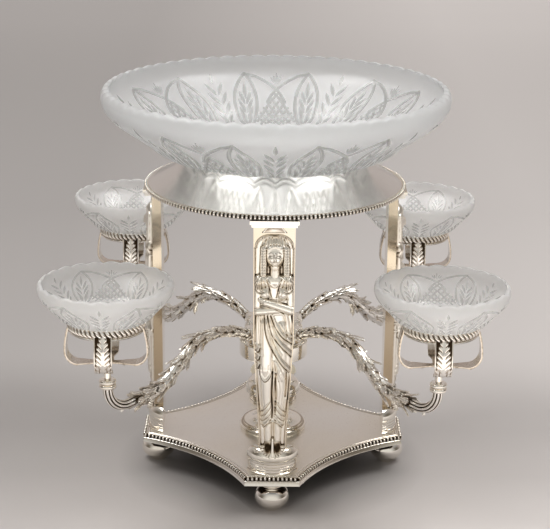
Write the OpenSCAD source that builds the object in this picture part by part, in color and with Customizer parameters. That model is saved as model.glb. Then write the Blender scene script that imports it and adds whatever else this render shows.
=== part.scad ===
// Table centrepiece: four figure columns carry a cut-glass dish, four branches carry small dishes.

/* [Base] */
// Distance from the axis to each canted corner of the base plate
plate_half = 126; // [115:1:140]
// Length of each canted corner
cant_w = 49; // [44:1:56]
// How far each side curves in from the straight line between corners
side_dip = 14.5; // [8:0.5:20]
// Height of the plate's edge
plate_t = 8.5; // [7:0.5:12]
// Thickness of the plate's top sheet
sheet_t = 2.5; // [2:0.1:4]
// Thickness of the plate's turned-down edge
skirt_t = 2.5; // [2:0.1:4]
// Width of the beaded border round the plate
border_w = 3.5; // [3:0.1:5]
// Height of the beaded border
border_h = 4; // [3:0.1:5]
// How far the border stands above the plate
border_rise = 1; // [0.5:0.1:2]

/* [Feet] */
// Largest radius of a bun foot
foot_r = 16.5; // [14:0.5:18]
// Height of a bun foot
foot_h = 27.5; // [24:0.5:32]
// Radius of the flat pad under a foot
pad_r = 7.5; // [6:0.5:9]
// Height of that pad
pad_h = 3.5; // [2:0.5:5]
// Radius of the neck between a foot and the plate
foot_neck_r = 9.5; // [7:0.5:11]
// Height of that neck
foot_neck_h = 3.5; // [2:0.5:5]
// Radius of the screw stud on a foot
stud_r = 2.5; // [2:0.1:3]
// Length of the stud inside the socle
stud_grip = 12; // [8:1:16]
// Gap round a stud or rod in its hole
stud_clear = 0.1; // [0.05:0.05:0.2]

/* [Columns] */
// Distance from the canted corner in to the flat back of a column
column_inset = 17.6; // [16:0.2:19]
// Distance from a column's flat back to its stud
stud_inset = 6; // [5:0.1:7]
// Radius of the socle's round front
socle_r = 26; // [24:0.5:28]
// Depth of the socle from its flat back to its front
socle_depth = 15.8; // [14:0.2:17]
// Height of the socle
socle_h = 26; // [22:0.5:30]
// Radius of the socle's cushion edge
socle_round = 9; // [6:0.5:11]
// Depth of the pilaster slab
slab_t = 8.5; // [7:0.5:10]
// Height of the pilaster
slab_h = 216; // [200:1:230]
// Width of the pilaster at its top
slab_top_w = 38; // [36:0.5:42]
// Width of the pilaster where the taper starts
slab_mid_w = 36.6; // [33:0.2:38]
// Width of the pilaster at its foot
slab_low_w = 24.5; // [24:0.5:30]
// Height on the pilaster where the taper starts
slab_mid_h = 106; // [80:1:130]
// Width of the capital's top plate
capital_w = 44.5; // [42:0.5:48]
// Depth of the capital's top plate
capital_depth = 17; // [15:0.5:19]
// Height of the capital
capital_h = 6.4; // [5:0.2:8]
// How far the capital's lower step is set in
capital_step = 1.6; // [1:0.1:2]
// Radius of the pin on the capital
tenon_r = 3; // [2:0.5:3.5]

/* [Stand] */
// How far the stand's bead reaches past the columns' studs
stand_reach = 9; // [7:0.5:11]
// Radius of the stand's bead edge
bead_r = 2.4; // [2:0.1:3]
// Thickness of the ring under the stand
flange_t = 2.6; // [2:0.1:3.5]
// Width of the ring under the stand
flange_w = 17; // [14:0.5:20]
// Thickness of the stand's sheet
stand_t = 1.6; // [1.2:0.1:2]
// Outer radius of the stand's neck
neck_r = 81.5; // [76:0.5:84]
// Height of the neck above the ring under the stand
neck_h = 30; // [26:0.5:34]
// Drop of the hollow curve's first pull below the neck's top
neck_drop = 8.5; // [6:0.5:12]
// Outward lean of that pull
neck_lean = 8.5; // [5:0.5:11]
// Level run of the hollow curve's last pull before the brim
brim_run = 13; // [8:0.5:18]
// Rise of that pull
brim_rise = 7; // [4:0.5:9]
// Width of the flat brim inside the bead
brim_w = 1; // [0.5:0.5:3]
// Width of the seat's ledge
seat_w = 7; // [5:0.5:9]
// Gap between a glass dish and its seat's wall
seat_clear = 0.5; // [0.3:0.1:1]

/* [Large dish] */
// Largest radius of the large dish
dish_r = 165; // [150:1:180]
// Height of the large dish above the neck
dish_h = 66.5; // [60:0.5:76]
// Glass thickness of the large dish
dish_t = 5; // [4:0.5:7]
// How far the rim turns in
dish_rim_in = 5; // [3:0.5:7]
// Height of the turned-in rim
dish_rim_h = 8.5; // [7:0.5:11]

/* [Centre] */
// Radius of the pedestal's stepped ring
pedestal_r = 32.5; // [28:0.5:36]
// Height of the pedestal's stepped ring
pedestal_ring_h = 7.5; // [5:0.5:10]
// Height of the pedestal's domed part
pedestal_dome_h = 13.5; // [12:0.5:16]
// Radius of the turned stem
stem_r = 9; // [7:0.5:11]
// Height of the stem
stem_h = 56.5; // [48:0.5:64]
// Largest radius of the stem's knop
bulb_r = 26.5; // [22:0.5:30]
// Height of the knop's round-shouldered ring
bulb_h = 14; // [11:0.5:17]
// Radius of the ring's shoulder
bulb_round = 9; // [6:0.5:10]
// Radius of the drum below the ring
bulb_foot_r = 23.5; // [20:0.5:26]
// Height of the drum below the ring
bulb_foot_h = 11; // [8:0.5:14]
// Height of the drum above the pedestal
bulb_rise = 6; // [4:0.5:8]
// Radius of the hub's drum
hub_r = 33.5; // [31:0.5:36]
// Height of the hub's drum
drum_h = 15; // [12:0.5:18]
// Radius of the hub's upper body
hub_body_r = 29; // [27:0.5:30]
// Height of the hub's upper body
hub_body_h = 22; // [20:0.5:26]
// Radius of the round shoulder on the hub
shoulder_r = 10; // [6:0.5:11]
// Height of the hub above the drum to the branch sockets
socket_h = 12.5; // [11:0.5:15]
// Distance from the axis to the socket faces
socket_face = 33; // [31:0.5:35]
// Width of a socket block
socket_w = 12; // [11:0.5:14]
// Width of the square plug on a branch
plug_w = 7.6; // [6:0.2:9]
// Length of the plug
plug_len = 12; // [8:1:14]
// Gap round the plug in its socket
plug_clear = 0.1; // [0.05:0.05:0.2]
// Radius of the domed cap on the hub
cap_r = 15; // [12:0.5:17]
// Height of the domed cap
cap_h = 9; // [7:0.5:11]
// Radius of the button on the cap
button_r = 5; // [4:0.5:6]
// Radius of the rod through the centre
rod_r = 2.5; // [2:0.1:3]
// Width across the flats of the nut under the plate
nut_w = 10; // [8:0.5:12]
// Height of that nut
nut_h = 4; // [3:0.5:5]

/* [Branches] */
// Distance from the axis to each small dish
reach = 211; // [200:1:222]
// Radius of the branch
branch_r = 3.6; // [3:0.1:4.2]
// Radius of the reeded elbow
elbow_r = 3.3; // [3:0.1:3.6]
// Thickness of the collar at the branch's root
root_t = 3; // [2:0.5:4]
// Radius of the branch's long rise
rise_r = 92; // [80:1:100]
// Radius of the branch's turn downward
fall_r = 38; // [32:1:44]
// Radius of the branch's turn back to level
level_r = 46; // [40:1:52]
// Length of the straight fall
fall_len = 32; // [26:1:38]
// Angle at which the branch leaves the hub
rise_angle = 30; // [26:1:32]
// Angle of the straight fall
fall_angle = 39; // [36:1:42]
// Angle of the nearly level stretch
level_angle = 6; // [4:1:8]
// Bend radius of the elbow
elbow_bend = 21.7; // [18:0.1:25]
// Length of a branch leaf
leaf_len = 23; // [16:1:28]
// Width of a branch leaf
leaf_w = 9; // [6:0.5:11]
// Thickness of a branch leaf
leaf_t = 1.6; // [1.2:0.1:2.4]
// Radius of the knops where the branch turns
knop_r = 4.8; // [4.4:0.1:6]

/* [Dish holders] */
// Radius of the nozzle's collars
collar_r = 8; // [7:0.5:9]
// Height of the nozzle
nozzle_h = 9; // [7:0.5:12]
// Thickness of the nozzle's floor
nozzle_floor = 1.5; // [1:0.5:2.5]
// Radius of the holder's post
post_r = 3.1; // [2.8:0.1:3.6]
// Height of the post above the nozzle
post_h = 15.5; // [10:0.5:18]
// Gap round the post in the nozzle
post_clear = 0.05; // [0.03:0.01:0.1]
// Radius of the boss that holds the straps
boss_r = 6.5; // [5.5:0.5:8]
// Height of that boss
boss_h = 5; // [4:0.5:7]
// Thickness of a strap
strap_t = 1.6; // [1.2:0.1:2.2]
// Width of a strap
strap_w = 16; // [12:0.5:18]
// Largest distance of a strap from the post
strap_out = 37.5; // [36:0.5:40]
// Bend radius of a strap
strap_bend = 13; // [10:0.5:15]
// Height of the cage from the boss to the ring
cage_h = 33; // [30:0.5:40]
// Middle radius of the gadrooned ring
ring_r = 32.2; // [30:0.2:35]
// Thickness of the gadrooned ring
ring_t = 4; // [3:0.5:5]
// Height of the gadrooned ring
ring_h = 8; // [6:0.5:10]
// Width of the ledge inside the ring
ledge_w = 3.5; // [2.5:0.5:5]
// Thickness of that ledge
ledge_t = 1.2; // [1:0.1:2]

/* [Small dishes] */
// Largest radius of a small dish
cup_r = 60.5; // [56:0.5:66]
// Height of a small dish above its ring
cup_h = 36; // [28:1:40]
// Glass thickness of a small dish
cup_t = 3.6; // [3:0.1:5]
// How far the rim of a small dish turns in
cup_rim_in = 2.2; // [1:0.2:3]
// Height of the turned-in rim of a small dish
cup_rim_h = 4.5; // [3:0.5:6]

/* [Hidden] */
$fn = 96;
hull_fn = 16;
knop_gap = 0.3;
eps = 0.01;
SIDES = ["front", "right", "back", "left"];
CORNERS = ["front_right", "back_right", "back_left", "front_left"];

// Plan of the base plate: a square whose sides are cut by four large circles on the diagonals
edge_half = cant_w / 2;
chord = sqrt(2) * (plate_half - edge_half);
side_r = chord * chord / (8 * side_dip) + side_dip / 2;
side_far = (plate_half + edge_half) / sqrt(2) - side_dip + side_r;
side_xy = side_far / sqrt(2);

// Places and heights of the columns
back_r = plate_half - column_inset;
stud_at = back_r + stud_inset;
plate_top = foot_h + plate_t;
slab_z = plate_top + socle_h;
capital_z = slab_z + slab_h;
stand_z = capital_z + capital_h;
stand_r = stud_at + stand_reach;
stand_edge = stand_r - bead_r;
plate_z = stand_z + flange_t;
neck_top = stand_z + neck_h;
neck_in = neck_r - stand_t;
brim_top = plate_z + stand_t;
brim_r = stand_edge - brim_w;
dish_foot_r = neck_in - seat_clear;

// Heights of the centre
dome_z = plate_top + pedestal_ring_h;
stem_z = dome_z + pedestal_dome_h;
drum_z = stem_z + stem_h;
body_z = drum_z + drum_h;
socket_z = body_z + socket_h;
cap_z = body_z + hub_body_h;
nut_z = plate_top - sheet_t - nut_h;
rod_top = cap_z + cap_h / 2;

// Course of a branch in its upright plane: points are [distance from the axis, height]
function step_right(p, r, from, to) =
    [p[0] + r * (sin(from) - sin(to)), p[1] + r * (cos(to) - cos(from))];
function step_left(p, r, from, to) =
    [p[0] + r * (sin(to) - sin(from)), p[1] + r * (cos(from) - cos(to))];
function step_on(p, len, heading) = [p[0] + len * cos(heading), p[1] + len * sin(heading)];
root_at = [socket_face + root_t, socket_z];
rise_end = step_right(root_at, rise_r, rise_angle, -level_angle);
fall_at = step_right(rise_end, fall_r, -level_angle, -fall_angle);
fall_end = step_on(fall_at, fall_len, -fall_angle);
level_at = step_left(fall_end, level_r, -fall_angle, -level_angle);
elbow_from = reach - elbow_bend * (1 + sin(level_angle));
level_len = (elbow_from - level_at[0]) / cos(level_angle);
elbow_at = step_on(level_at, level_len, -level_angle);
elbow_end = step_left(elbow_at, elbow_bend, -level_angle, 90);

// Heights of a dish holder
nozzle_z = elbow_end[1];
post_z = nozzle_z + nozzle_floor;
nozzle_top = nozzle_z + nozzle_h;
boss_z = nozzle_top + post_h;
ring_z = boss_z + cage_h;
ring_top = ring_z + ring_h;
ring_in = ring_r - ring_t / 2;
ring_out = ring_r + ring_t / 2;
cup_foot_r = ring_in - seat_clear;
cup_foot_z = ring_z + ledge_t;

function bezier(a, b, c, d, t) =
    pow(1 - t, 3) * a + 3 * t * pow(1 - t, 2) * b + 3 * t * t * (1 - t) * c + pow(t, 3) * d;

// Outside of the stand: hollow curve from the neck's top down to the brim
stand_steps = 12;
function stand_point(t) = bezier(
    [neck_r, neck_top],
    [neck_r + neck_lean, neck_top - neck_drop],
    [brim_r - brim_run, brim_top + brim_rise],
    [brim_r, brim_top],
    t
);
// Place on that curve, as a share of its run, where the dish's ledge meets it
seat_share = 0.28;
seat_z = stand_point(seat_share)[1];

// Outside of a glass dish: shallow floor, sloping wall and round shoulder up to the widest place
wall_steps = 7;
function dish_wall(foot_r, foot_top, r, bulge_z) =
    let (
        rise = bulge_z - foot_top,
        knee = [foot_r + 0.58 * (r - foot_r), foot_top + 0.35 * rise],
        bend_low = [foot_r + 0.42 * (r - foot_r), foot_top + 0.04 * rise],
        bend_high = [foot_r + 0.4 * (r - foot_r), foot_top + 0.17 * rise],
        wall = [foot_r + 0.83 * (r - foot_r), foot_top + 0.62 * rise],
        shoulder = [r, foot_top + 0.72 * rise]
    )
    concat(
        [for (i = [0:wall_steps - 1])
            bezier([foot_r, foot_top], bend_low, bend_high, knee, i / wall_steps)],
        [for (i = [0:wall_steps])
            bezier(knee, wall, shoulder, [r, bulge_z], i / wall_steps)]
    );
// Outside of the turned-in rim, from just above the widest place to the top
function dish_rim(r, bulge_z, rim_in, rim_h) = [for (i = [1:wall_steps])
    let (a = 90 * i / wall_steps) [r - rim_in + rim_in * cos(a), bulge_z + rim_h * sin(a)]];
// Share of the glass thickness that is left at the rim's top
rim_share = 0.7;
// Same curve moved in by the glass thickness, square to its run
function moved_in(c, t) = [for (i = [1:len(c) - 1])
    let (d = c[min(i + 1, len(c) - 1)] - c[i - 1]) c[i] + t * [-d[1], d[0]] / norm(d)];

module dish(foot_r, foot_z, foot_top, r, rim_z, rim_in, rim_h, wall_t) {
    bulge_z = rim_z - rim_h;
    outer = dish_wall(foot_r, foot_top, r, bulge_z);
    inner = moved_in(outer, wall_t);
    last = len(inner) - 1;
    lip = rim_share * wall_t;
    rotate_extrude()
        polygon(concat(
            [[0, foot_z], [foot_r, foot_z]],
            outer,
            dish_rim(r, bulge_z, rim_in, rim_h),
            [[r - rim_in - lip, rim_z]],
            [for (i = [last:-1:0]) inner[i]],
            [[0, inner[0][1]]]
        ));
}

// Puts children, made for the front column, at column number i
module at_side(i) {
    rotate([0, 0, 90 * i])
        children();
}

// Puts children, made with the branch along +X, at corner number i
module at_corner(i) {
    rotate([0, 0, 90 * i - 45])
        children();
}

// Plan of the base, moved in from the border's middle by a distance
module plan(inset) {
    difference() {
        square(2 * (plate_half - inset), center = true);
        for (a = [45:90:315])
            rotate(a)
                translate([side_far, 0])
                    circle(side_r + inset, $fn = 180);
    }
}

module base_plate() {
    fascia = border_w / 2 - 0.25;
    color("silver")
        translate([0, 0, foot_h])
            difference() {
                union() {
                    difference() {
                        linear_extrude(plate_t)
                            plan(fascia);
                        translate([0, 0, -1])
                            linear_extrude(plate_t - sheet_t + 1)
                                plan(fascia + skirt_t);
                    }
                    for (i = [0:3])
                        at_side(i)
                            translate([0, -stud_at, 0])
                                cylinder(r = foot_neck_r, h = plate_t - sheet_t + eps);
                }
                for (i = [0:3])
                    at_side(i)
                        translate([0, -stud_at, -1])
                            cylinder(r = stud_r + stud_clear, h = plate_t + 2);
                cylinder(r = rod_r + stud_clear, h = plate_t + 2);
            }
}

module base_border() {
    fascia = border_w / 2 - 0.25;
    color("lightgray")
        translate([0, 0, plate_top + border_rise - border_h])
            linear_extrude(border_h)
                difference() {
                    plan(fascia - border_w);
                    plan(fascia);
                }
}

// Bun foot with its pad, neck and screw stud
module foot() {
    bun_h = foot_h - pad_h - foot_neck_h;
    color("silver")
        translate([0, -stud_at, 0]) {
            rotate_extrude() {
                square([pad_r, pad_h + eps]);
                translate([0, pad_h])
                    square([foot_r - bun_h / 2, bun_h]);
                intersection() {
                    translate([foot_r - bun_h / 2, pad_h + bun_h / 2])
                        circle(bun_h / 2);
                    square([foot_r + 1, foot_h]);
                }
                translate([0, foot_h - foot_neck_h - eps])
                    square([foot_neck_r, foot_neck_h + eps]);
            }
            translate([0, 0, foot_h - eps])
                cylinder(r = stud_r, h = plate_t + stud_grip);
        }
}

// Half-round socle with a cushion edge and a flat back
module socle() {
    centre_r = back_r + socle_depth - socle_r;
    color("silver")
        difference() {
            translate([0, -centre_r, plate_top])
                rotate_extrude()
                    difference() {
                        square([socle_r, socle_h]);
                        translate([socle_r - socle_round, socle_h - socle_round])
                            difference() {
                                square(socle_round + 1);
                                circle(socle_round);
                            }
                    }
            translate([-socle_r - 1, -back_r, plate_top - 1])
                cube([2 * socle_r + 2, back_r, socle_h + 2]);
            translate([0, -stud_at, plate_top - 1])
                cylinder(r = stud_r + stud_clear, h = stud_grip + 2);
        }
}

// Tapered slab with a small raised tablet under the capital
module pilaster() {
    tablet_w = 0.56 * slab_top_w;
    tablet_h = 5.6;
    color("silver")
        translate([0, -back_r, slab_z]) {
            rotate([90, 0, 0])
                linear_extrude(slab_t)
                    polygon([
                        [-slab_low_w / 2, 0],
                        [slab_low_w / 2, 0],
                        [slab_mid_w / 2, slab_mid_h],
                        [slab_top_w / 2, slab_h],
                        [-slab_top_w / 2, slab_h],
                        [-slab_mid_w / 2, slab_mid_h]
                    ]);
            translate([-tablet_w / 2, -slab_t - 0.8, slab_h - 1.9 - tablet_h])
                cube([tablet_w, 0.8 + eps, tablet_h]);
        }
}

// One limb or fold of a figure, between two rounded ends [across, forward, up, radius]
module limb(a, b) {
    hull()
        for (p = [a, b])
            translate([p[0], -p[1], p[2]])
                sphere(p[3], $fn = hull_fn);
}

// Draped woman in high relief with folded arms and a striped head-dress
module figure() {
    color("whitesmoke")
        translate([0, -back_r - slab_t, slab_z])
            intersection() {
                scale([slab_top_w / 38, slab_t / 8.5, slab_h / 216])
                    union() {
                        limb([0, 0.5, 189, 6], [0, 1, 196, 6.5]);
                        limb([0, -1, 196, 7.5], [0, -1, 190, 9.5]);
                        limb([0, -1, 188, 4.5], [0, -1, 164, 5]);
                        limb([-9.5, -1, 192, 3.5], [-9, 0, 172, 3.6]);
                        limb([9.5, -1, 192, 3.5], [9, 0, 172, 3.6]);
                        hull() {
                            limb([-12.5, -0.5, 164, 4.5], [12.5, -0.5, 164, 4.5]);
                            limb([-8, 0, 134, 5], [8, 0, 134, 5]);
                        }
                        limb([-15, 0, 162, 3.2], [-15, 0.5, 140, 3.2]);
                        limb([15, 0, 162, 3.2], [15, 0.5, 140, 3.2]);
                        limb([-14.5, 2, 138, 3], [8, 3, 136, 2.8]);
                        limb([14.5, 2, 139, 3], [-10, 3.4, 147, 2.6]);
                        hull() {
                            limb([-10, -1, 132, 5], [10, -1, 132, 5]);
                            limb([-12, -0.5, 84, 5.5], [12, -0.5, 84, 5.5]);
                        }
                        hull() {
                            limb([-12, -0.5, 84, 5.5], [12, -0.5, 84, 5.5]);
                            limb([-7.5, -0.5, 28, 5], [7.5, -0.5, 28, 5]);
                        }
                        limb([-4.2, 0, 28, 3.4], [-4.2, 0.4, 5, 3.6]);
                        limb([4.2, 0, 28, 3.4], [4.2, 0.4, 5, 3.6]);
                        limb([-4.4, 1, 3.4, 3.2], [-6.6, 4.4, 2.2, 2.2]);
                        limb([4.4, 1, 3.4, 3.2], [6.6, 4.4, 2.2, 2.2]);
                    }
                translate([-capital_w / 2, -capital_depth, 0])
                    cube([capital_w, capital_depth, slab_h]);
            }
}

// Two-step capital with a pin that enters the ring above
module capital() {
    low_h = 0.45 * capital_h;
    color("silver")
        translate([0, -back_r, capital_z]) {
            translate([-capital_w / 2 + capital_step, -capital_depth + capital_step, 0])
                cube([capital_w - 2 * capital_step, capital_depth - capital_step, low_h + eps]);
            translate([-capital_w / 2, -capital_depth, low_h])
                cube([capital_w, capital_depth, capital_h - low_h]);
            translate([0, -stud_inset, 0])
                cylinder(r = tenon_r, h = capital_h + flange_t);
        }
}

// Flat ring that the four capitals carry
module stand_flange() {
    color("silver")
        translate([0, 0, stand_z])
            difference() {
                cylinder(r = stand_edge, h = flange_t);
                translate([0, 0, -1])
                    cylinder(r = stand_edge - flange_w, h = flange_t + 2);
                for (i = [0:3])
                    at_side(i)
                        translate([0, -stud_at, -1])
                            cylinder(r = tenon_r + stud_clear, h = flange_t + 2);
            }
}

// Section of the stand's sheet: hollow curve and flat brim, with a ledge inside for the dish
module stand_section() {
    outer = [for (i = [0:stand_steps]) stand_point(i / stand_steps)];
    inner = moved_in(outer, -stand_t);
    last = len(inner) - 1;
    ledge_z = seat_z - stand_t;
    ledge_r = neck_in - seat_w;
    polygon(concat(
        [[neck_in, neck_top]],
        outer,
        [[stand_edge, brim_top], [stand_edge, plate_z]],
        [[inner[last][0], plate_z]],
        [for (i = [last - 1:-1:0]) if (inner[i][1] < ledge_z) inner[i]],
        [[neck_in, ledge_z], [ledge_r, ledge_z], [ledge_r, seat_z], [neck_in, seat_z]],
        [for (i = [last - 1:-1:0]) if (inner[i][1] > seat_z) inner[i]]
    ));
}

module bowl_stand() {
    color("silver")
        rotate_extrude($fn = 180)
            stand_section();
}

module stand_border() {
    color("lightgray")
        rotate_extrude($fn = 180) {
            translate([stand_edge, stand_z])
                square([bead_r, 2 * bead_r]);
            translate([stand_r, stand_z + bead_r])
                circle(bead_r);
        }
}

module large_dish() {
    color("azure", 0.6)
        dish(dish_foot_r, seat_z, neck_top + seat_clear, dish_r, neck_top + dish_h,
            dish_rim_in, dish_rim_h, dish_t);
}

// Stepped ring with a domed top
module pedestal() {
    dome_r = pedestal_r - 5;
    color("silver")
        difference() {
            union() {
                translate([0, 0, plate_top])
                    cylinder(r = pedestal_r, h = 0.6 * pedestal_ring_h);
                translate([0, 0, plate_top])
                    cylinder(r = pedestal_r - 2.5, h = pedestal_ring_h);
                translate([0, 0, dome_z])
                    rotate_extrude()
                        difference() {
                            square([dome_r, pedestal_dome_h]);
                            translate([dome_r, pedestal_dome_h])
                                circle(pedestal_dome_h);
                        }
            }
            translate([0, 0, plate_top - 1])
                cylinder(r = rod_r + stud_clear, h = pedestal_ring_h + pedestal_dome_h + 2);
        }
}

// Turned stem with a wide knop: a drum under a round-shouldered ring
module stem() {
    bore = rod_r + stud_clear;
    ring_z = bulb_rise + bulb_foot_h;
    core_r = bulb_r - bulb_round;
    color("silver")
        translate([0, 0, stem_z])
            rotate_extrude() {
                translate([bore, 0])
                    square([stem_r - bore, stem_h]);
                translate([bore, bulb_rise])
                    square([bulb_foot_r - bore, bulb_foot_h + eps]);
                translate([bore, ring_z])
                    square([core_r - bore, bulb_h]);
                translate([bore, ring_z])
                    square([bulb_r - bore, bulb_h - bulb_round]);
                intersection() {
                    translate([core_r, ring_z + bulb_h - bulb_round])
                        circle(bulb_round);
                    translate([bore, ring_z + eps])
                        square([bulb_r, bulb_h]);
                }
            }
}

// Drum with a round-shouldered body and four square sockets
module hub() {
    hole_w = plug_w + 2 * plug_clear;
    color("silver")
        difference() {
            union() {
                translate([0, 0, drum_z])
                    cylinder(r = hub_r, h = drum_h);
                translate([0, 0, body_z - eps])
                    rotate_extrude()
                        difference() {
                            square([hub_body_r, hub_body_h]);
                            translate([hub_body_r - shoulder_r, hub_body_h - shoulder_r])
                                difference() {
                                    square(shoulder_r + 1);
                                    circle(shoulder_r);
                                }
                        }
                for (i = [0:3])
                    at_corner(i)
                        translate([0, -socket_w / 2, socket_z - socket_w / 2])
                            cube([socket_face, socket_w, socket_w]);
            }
            for (i = [0:3])
                at_corner(i)
                    translate([socket_face - plug_len - 1, -hole_w / 2, socket_z - hole_w / 2])
                        cube([plug_len + 2, hole_w, hole_w]);
            translate([0, 0, drum_z - 1])
                cylinder(r = rod_r + stud_clear, h = drum_h + hub_body_h + 2);
        }
}

// Domed cap with a button, screwed on the rod's end
module hub_cap() {
    dome = (cap_r * cap_r + cap_h * cap_h) / (2 * cap_h);
    color("silver")
        difference() {
            translate([0, 0, cap_z])
                rotate_extrude() {
                    intersection() {
                        translate([0, cap_h - dome])
                            circle(dome);
                        square([cap_r + 1, cap_h]);
                    }
                    intersection() {
                        translate([0, cap_h + 0.7 * button_r])
                            circle(button_r);
                        square([button_r, cap_h + 2 * button_r]);
                    }
                }
            translate([0, 0, cap_z - 1])
                cylinder(r = rod_r + stud_clear, h = rod_top - cap_z + 1);
        }
}

module tie_rod() {
    color("darkgray")
        translate([0, 0, nut_z - 1.5])
            cylinder(r = rod_r, h = rod_top - nut_z + 1.5);
}

module tie_nut() {
    color("darkgray")
        translate([0, 0, nut_z])
            difference() {
                cylinder(d = nut_w / cos(30), h = nut_h, $fn = 6);
                translate([0, 0, -1])
                    cylinder(r = rod_r + stud_clear, h = nut_h + 2);
            }
}

// Round bar bent in an upright plane from a point and a heading, up or down to a second heading;
// it stops short of both ends by a gap, which a knop covers
module bend(p, r, from, to, bar_r, gap = 0) {
    up = to > from;
    centre = up ? [p[0] - r * sin(from), p[1] + r * cos(from)] : [p[0] + r * sin(from), p[1] - r * cos(from)];
    start = up ? from - 90 : to + 90;
    short = gap / r * 180 / PI;
    translate([centre[0], 0, centre[1]])
        rotate([90, 0, 0])
            rotate([0, 0, start + short])
                rotate_extrude(angle = abs(to - from) - 2 * short)
                    translate([r, 0])
                        circle(bar_r, $fn = 48);
}

// Straight bar between two knops, short of the first by a gap
module straight(p, len, heading, bar_r, gap) {
    translate([p[0], 0, p[1]])
        rotate([0, 90 - heading, 0])
            translate([0, 0, gap])
                cylinder(r = bar_r, h = len - gap, $fn = 48);
}

module knop(p) {
    translate([p[0], 0, p[1]])
        sphere(knop_r, $fn = 48);
}

// Pointed leaf that springs from a place on the branch at a heading and leans to one side
module leaf(p, heading, lean, size) {
    len = leaf_len * size;
    arc = (len * len / 4 + leaf_w * leaf_w / 4) / leaf_w;
    translate([p[0], 0, p[1]])
        rotate([0, -heading, 0])
            rotate([lean, 0, 0])
                translate([len / 2, 0, -leaf_t / 2])
                    linear_extrude(leaf_t)
                        intersection() {
                            translate([0, arc - leaf_w / 2])
                                circle(arc);
                            translate([0, leaf_w / 2 - arc])
                                circle(arc);
                        }
}

// Branch from its plug to the elbow, with leaves where it turns
module branch() {
    crown = step_right(root_at, rise_r, rise_angle, 8);
    low = step_on(fall_at, 0.75 * fall_len, -fall_angle);
    flat = step_on(level_at, 0.35 * level_len, -level_angle);
    color("gainsboro") {
        translate([socket_face - plug_len, -plug_w / 2, socket_z - plug_w / 2])
            cube([plug_len + eps, plug_w, plug_w]);
        translate([socket_face, -socket_w / 2, socket_z - socket_w / 2])
            cube([root_t + eps, socket_w, socket_w]);
        bend(root_at, rise_r, rise_angle, -level_angle, branch_r, knop_gap);
        bend(rise_end, fall_r, -level_angle, -fall_angle, branch_r, knop_gap);
        straight(fall_at, fall_len - knop_gap, -fall_angle, branch_r, knop_gap);
        bend(fall_end, level_r, -fall_angle, -level_angle, branch_r, knop_gap);
        straight(level_at, level_len, -level_angle, branch_r, knop_gap);
        for (p = [root_at, rise_end, fall_at, fall_end, level_at])
            knop(p);
        for (side = [-1, 1]) {
            leaf(crown, 2, side * 35, 1.35);
            leaf(low, -64, side * 30, 0.9);
            leaf(flat, 24, side * 35, 0.8);
        }
        leaf(fall_at, 12, 90, 0.9);
    }
}

module elbow() {
    color("silver")
        bend(elbow_at, elbow_bend, -level_angle, 90, elbow_r);
}

// Cup with two collars that takes the holder's post
module nozzle() {
    ridge = nozzle_h / 4;
    color("silver")
        translate([reach, 0, nozzle_z])
            difference() {
                rotate_extrude() {
                    square([collar_r - 2, nozzle_h]);
                    for (z = [nozzle_h - ridge, nozzle_h - 3 * ridge])
                        translate([collar_r - ridge, z])
                            circle(ridge);
                }
                translate([0, 0, nozzle_floor])
                    cylinder(r = post_r + post_clear, h = nozzle_h);
            }
}

// Post with the boss that the straps spring from
module post() {
    color("silver")
        translate([reach, 0, 0]) {
            translate([0, 0, post_z])
                cylinder(r = post_r, h = boss_z - post_z + eps);
            translate([0, 0, boss_z])
                cylinder(r = boss_r, h = boss_h);
        }
}

// Section of a strap: flat run out from the boss, round bend, and a long curve up to the ring
module strap_section() {
    mid = strap_t / 2;
    bend_x = strap_out - strap_bend;
    top_x = ring_r - strap_t / 2;
    climb = cage_h - strap_bend;
    lean = strap_out - top_x - strap_t;
    curve_r = (climb * climb + lean * lean) / (2 * lean);
    translate([boss_r / 2, 0])
        square([bend_x - boss_r / 2 + eps, strap_t]);
    intersection() {
        translate([bend_x, strap_bend])
            difference() {
                circle(strap_bend);
                circle(strap_bend - strap_t);
            }
        translate([bend_x, 0])
            square([strap_bend + 1, strap_bend + eps]);
    }
    intersection() {
        translate([strap_out - curve_r, strap_bend])
            difference() {
                circle(curve_r, $fn = 180);
                circle(curve_r - strap_t, $fn = 180);
            }
        translate([0, strap_bend])
            square([strap_out + mid, climb]);
    }
}

// Four bent straps that narrow toward the boss
module straps() {
    color("gainsboro")
        translate([reach, 0, boss_z])
            for (a = [45:90:315])
                rotate([0, 0, a])
                    difference() {
                        intersection() {
                            translate([0, strap_w / 2, 0])
                                rotate([90, 0, 0])
                                    linear_extrude(strap_w)
                                        strap_section();
                            linear_extrude(cage_h)
                                polygon([
                                    [boss_r / 2, -boss_r / 2],
                                    [boss_r, -boss_r / 2],
                                    [strap_out - strap_bend, -strap_w / 2],
                                    [strap_out + 1, -strap_w / 2],
                                    [strap_out + 1, strap_w / 2],
                                    [strap_out - strap_bend, strap_w / 2],
                                    [boss_r, boss_r / 2],
                                    [boss_r / 2, boss_r / 2]
                                ]);
                        }
                        translate([0, 0, -1])
                            cylinder(r = boss_r, h = strap_t + 2);
                    }
}

// Ring with a rounded section and a ledge inside for the glass
module holder_ring() {
    color("lightgray")
        translate([reach, 0, ring_z])
            rotate_extrude() {
                translate([ring_in, 0])
                    square([ring_t, ring_h - ring_t / 2]);
                translate([ring_r, ring_h - ring_t / 2])
                    circle(ring_t / 2);
                translate([ring_in - ledge_w, 0])
                    square([ledge_w + eps, ledge_t]);
            }
}

module small_dish() {
    color("azure", 0.6)
        translate([reach, 0, 0])
            dish(cup_foot_r, cup_foot_z, ring_top + seat_clear, cup_r, ring_top + cup_h,
                cup_rim_in, cup_rim_h, cup_t);
}

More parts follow.
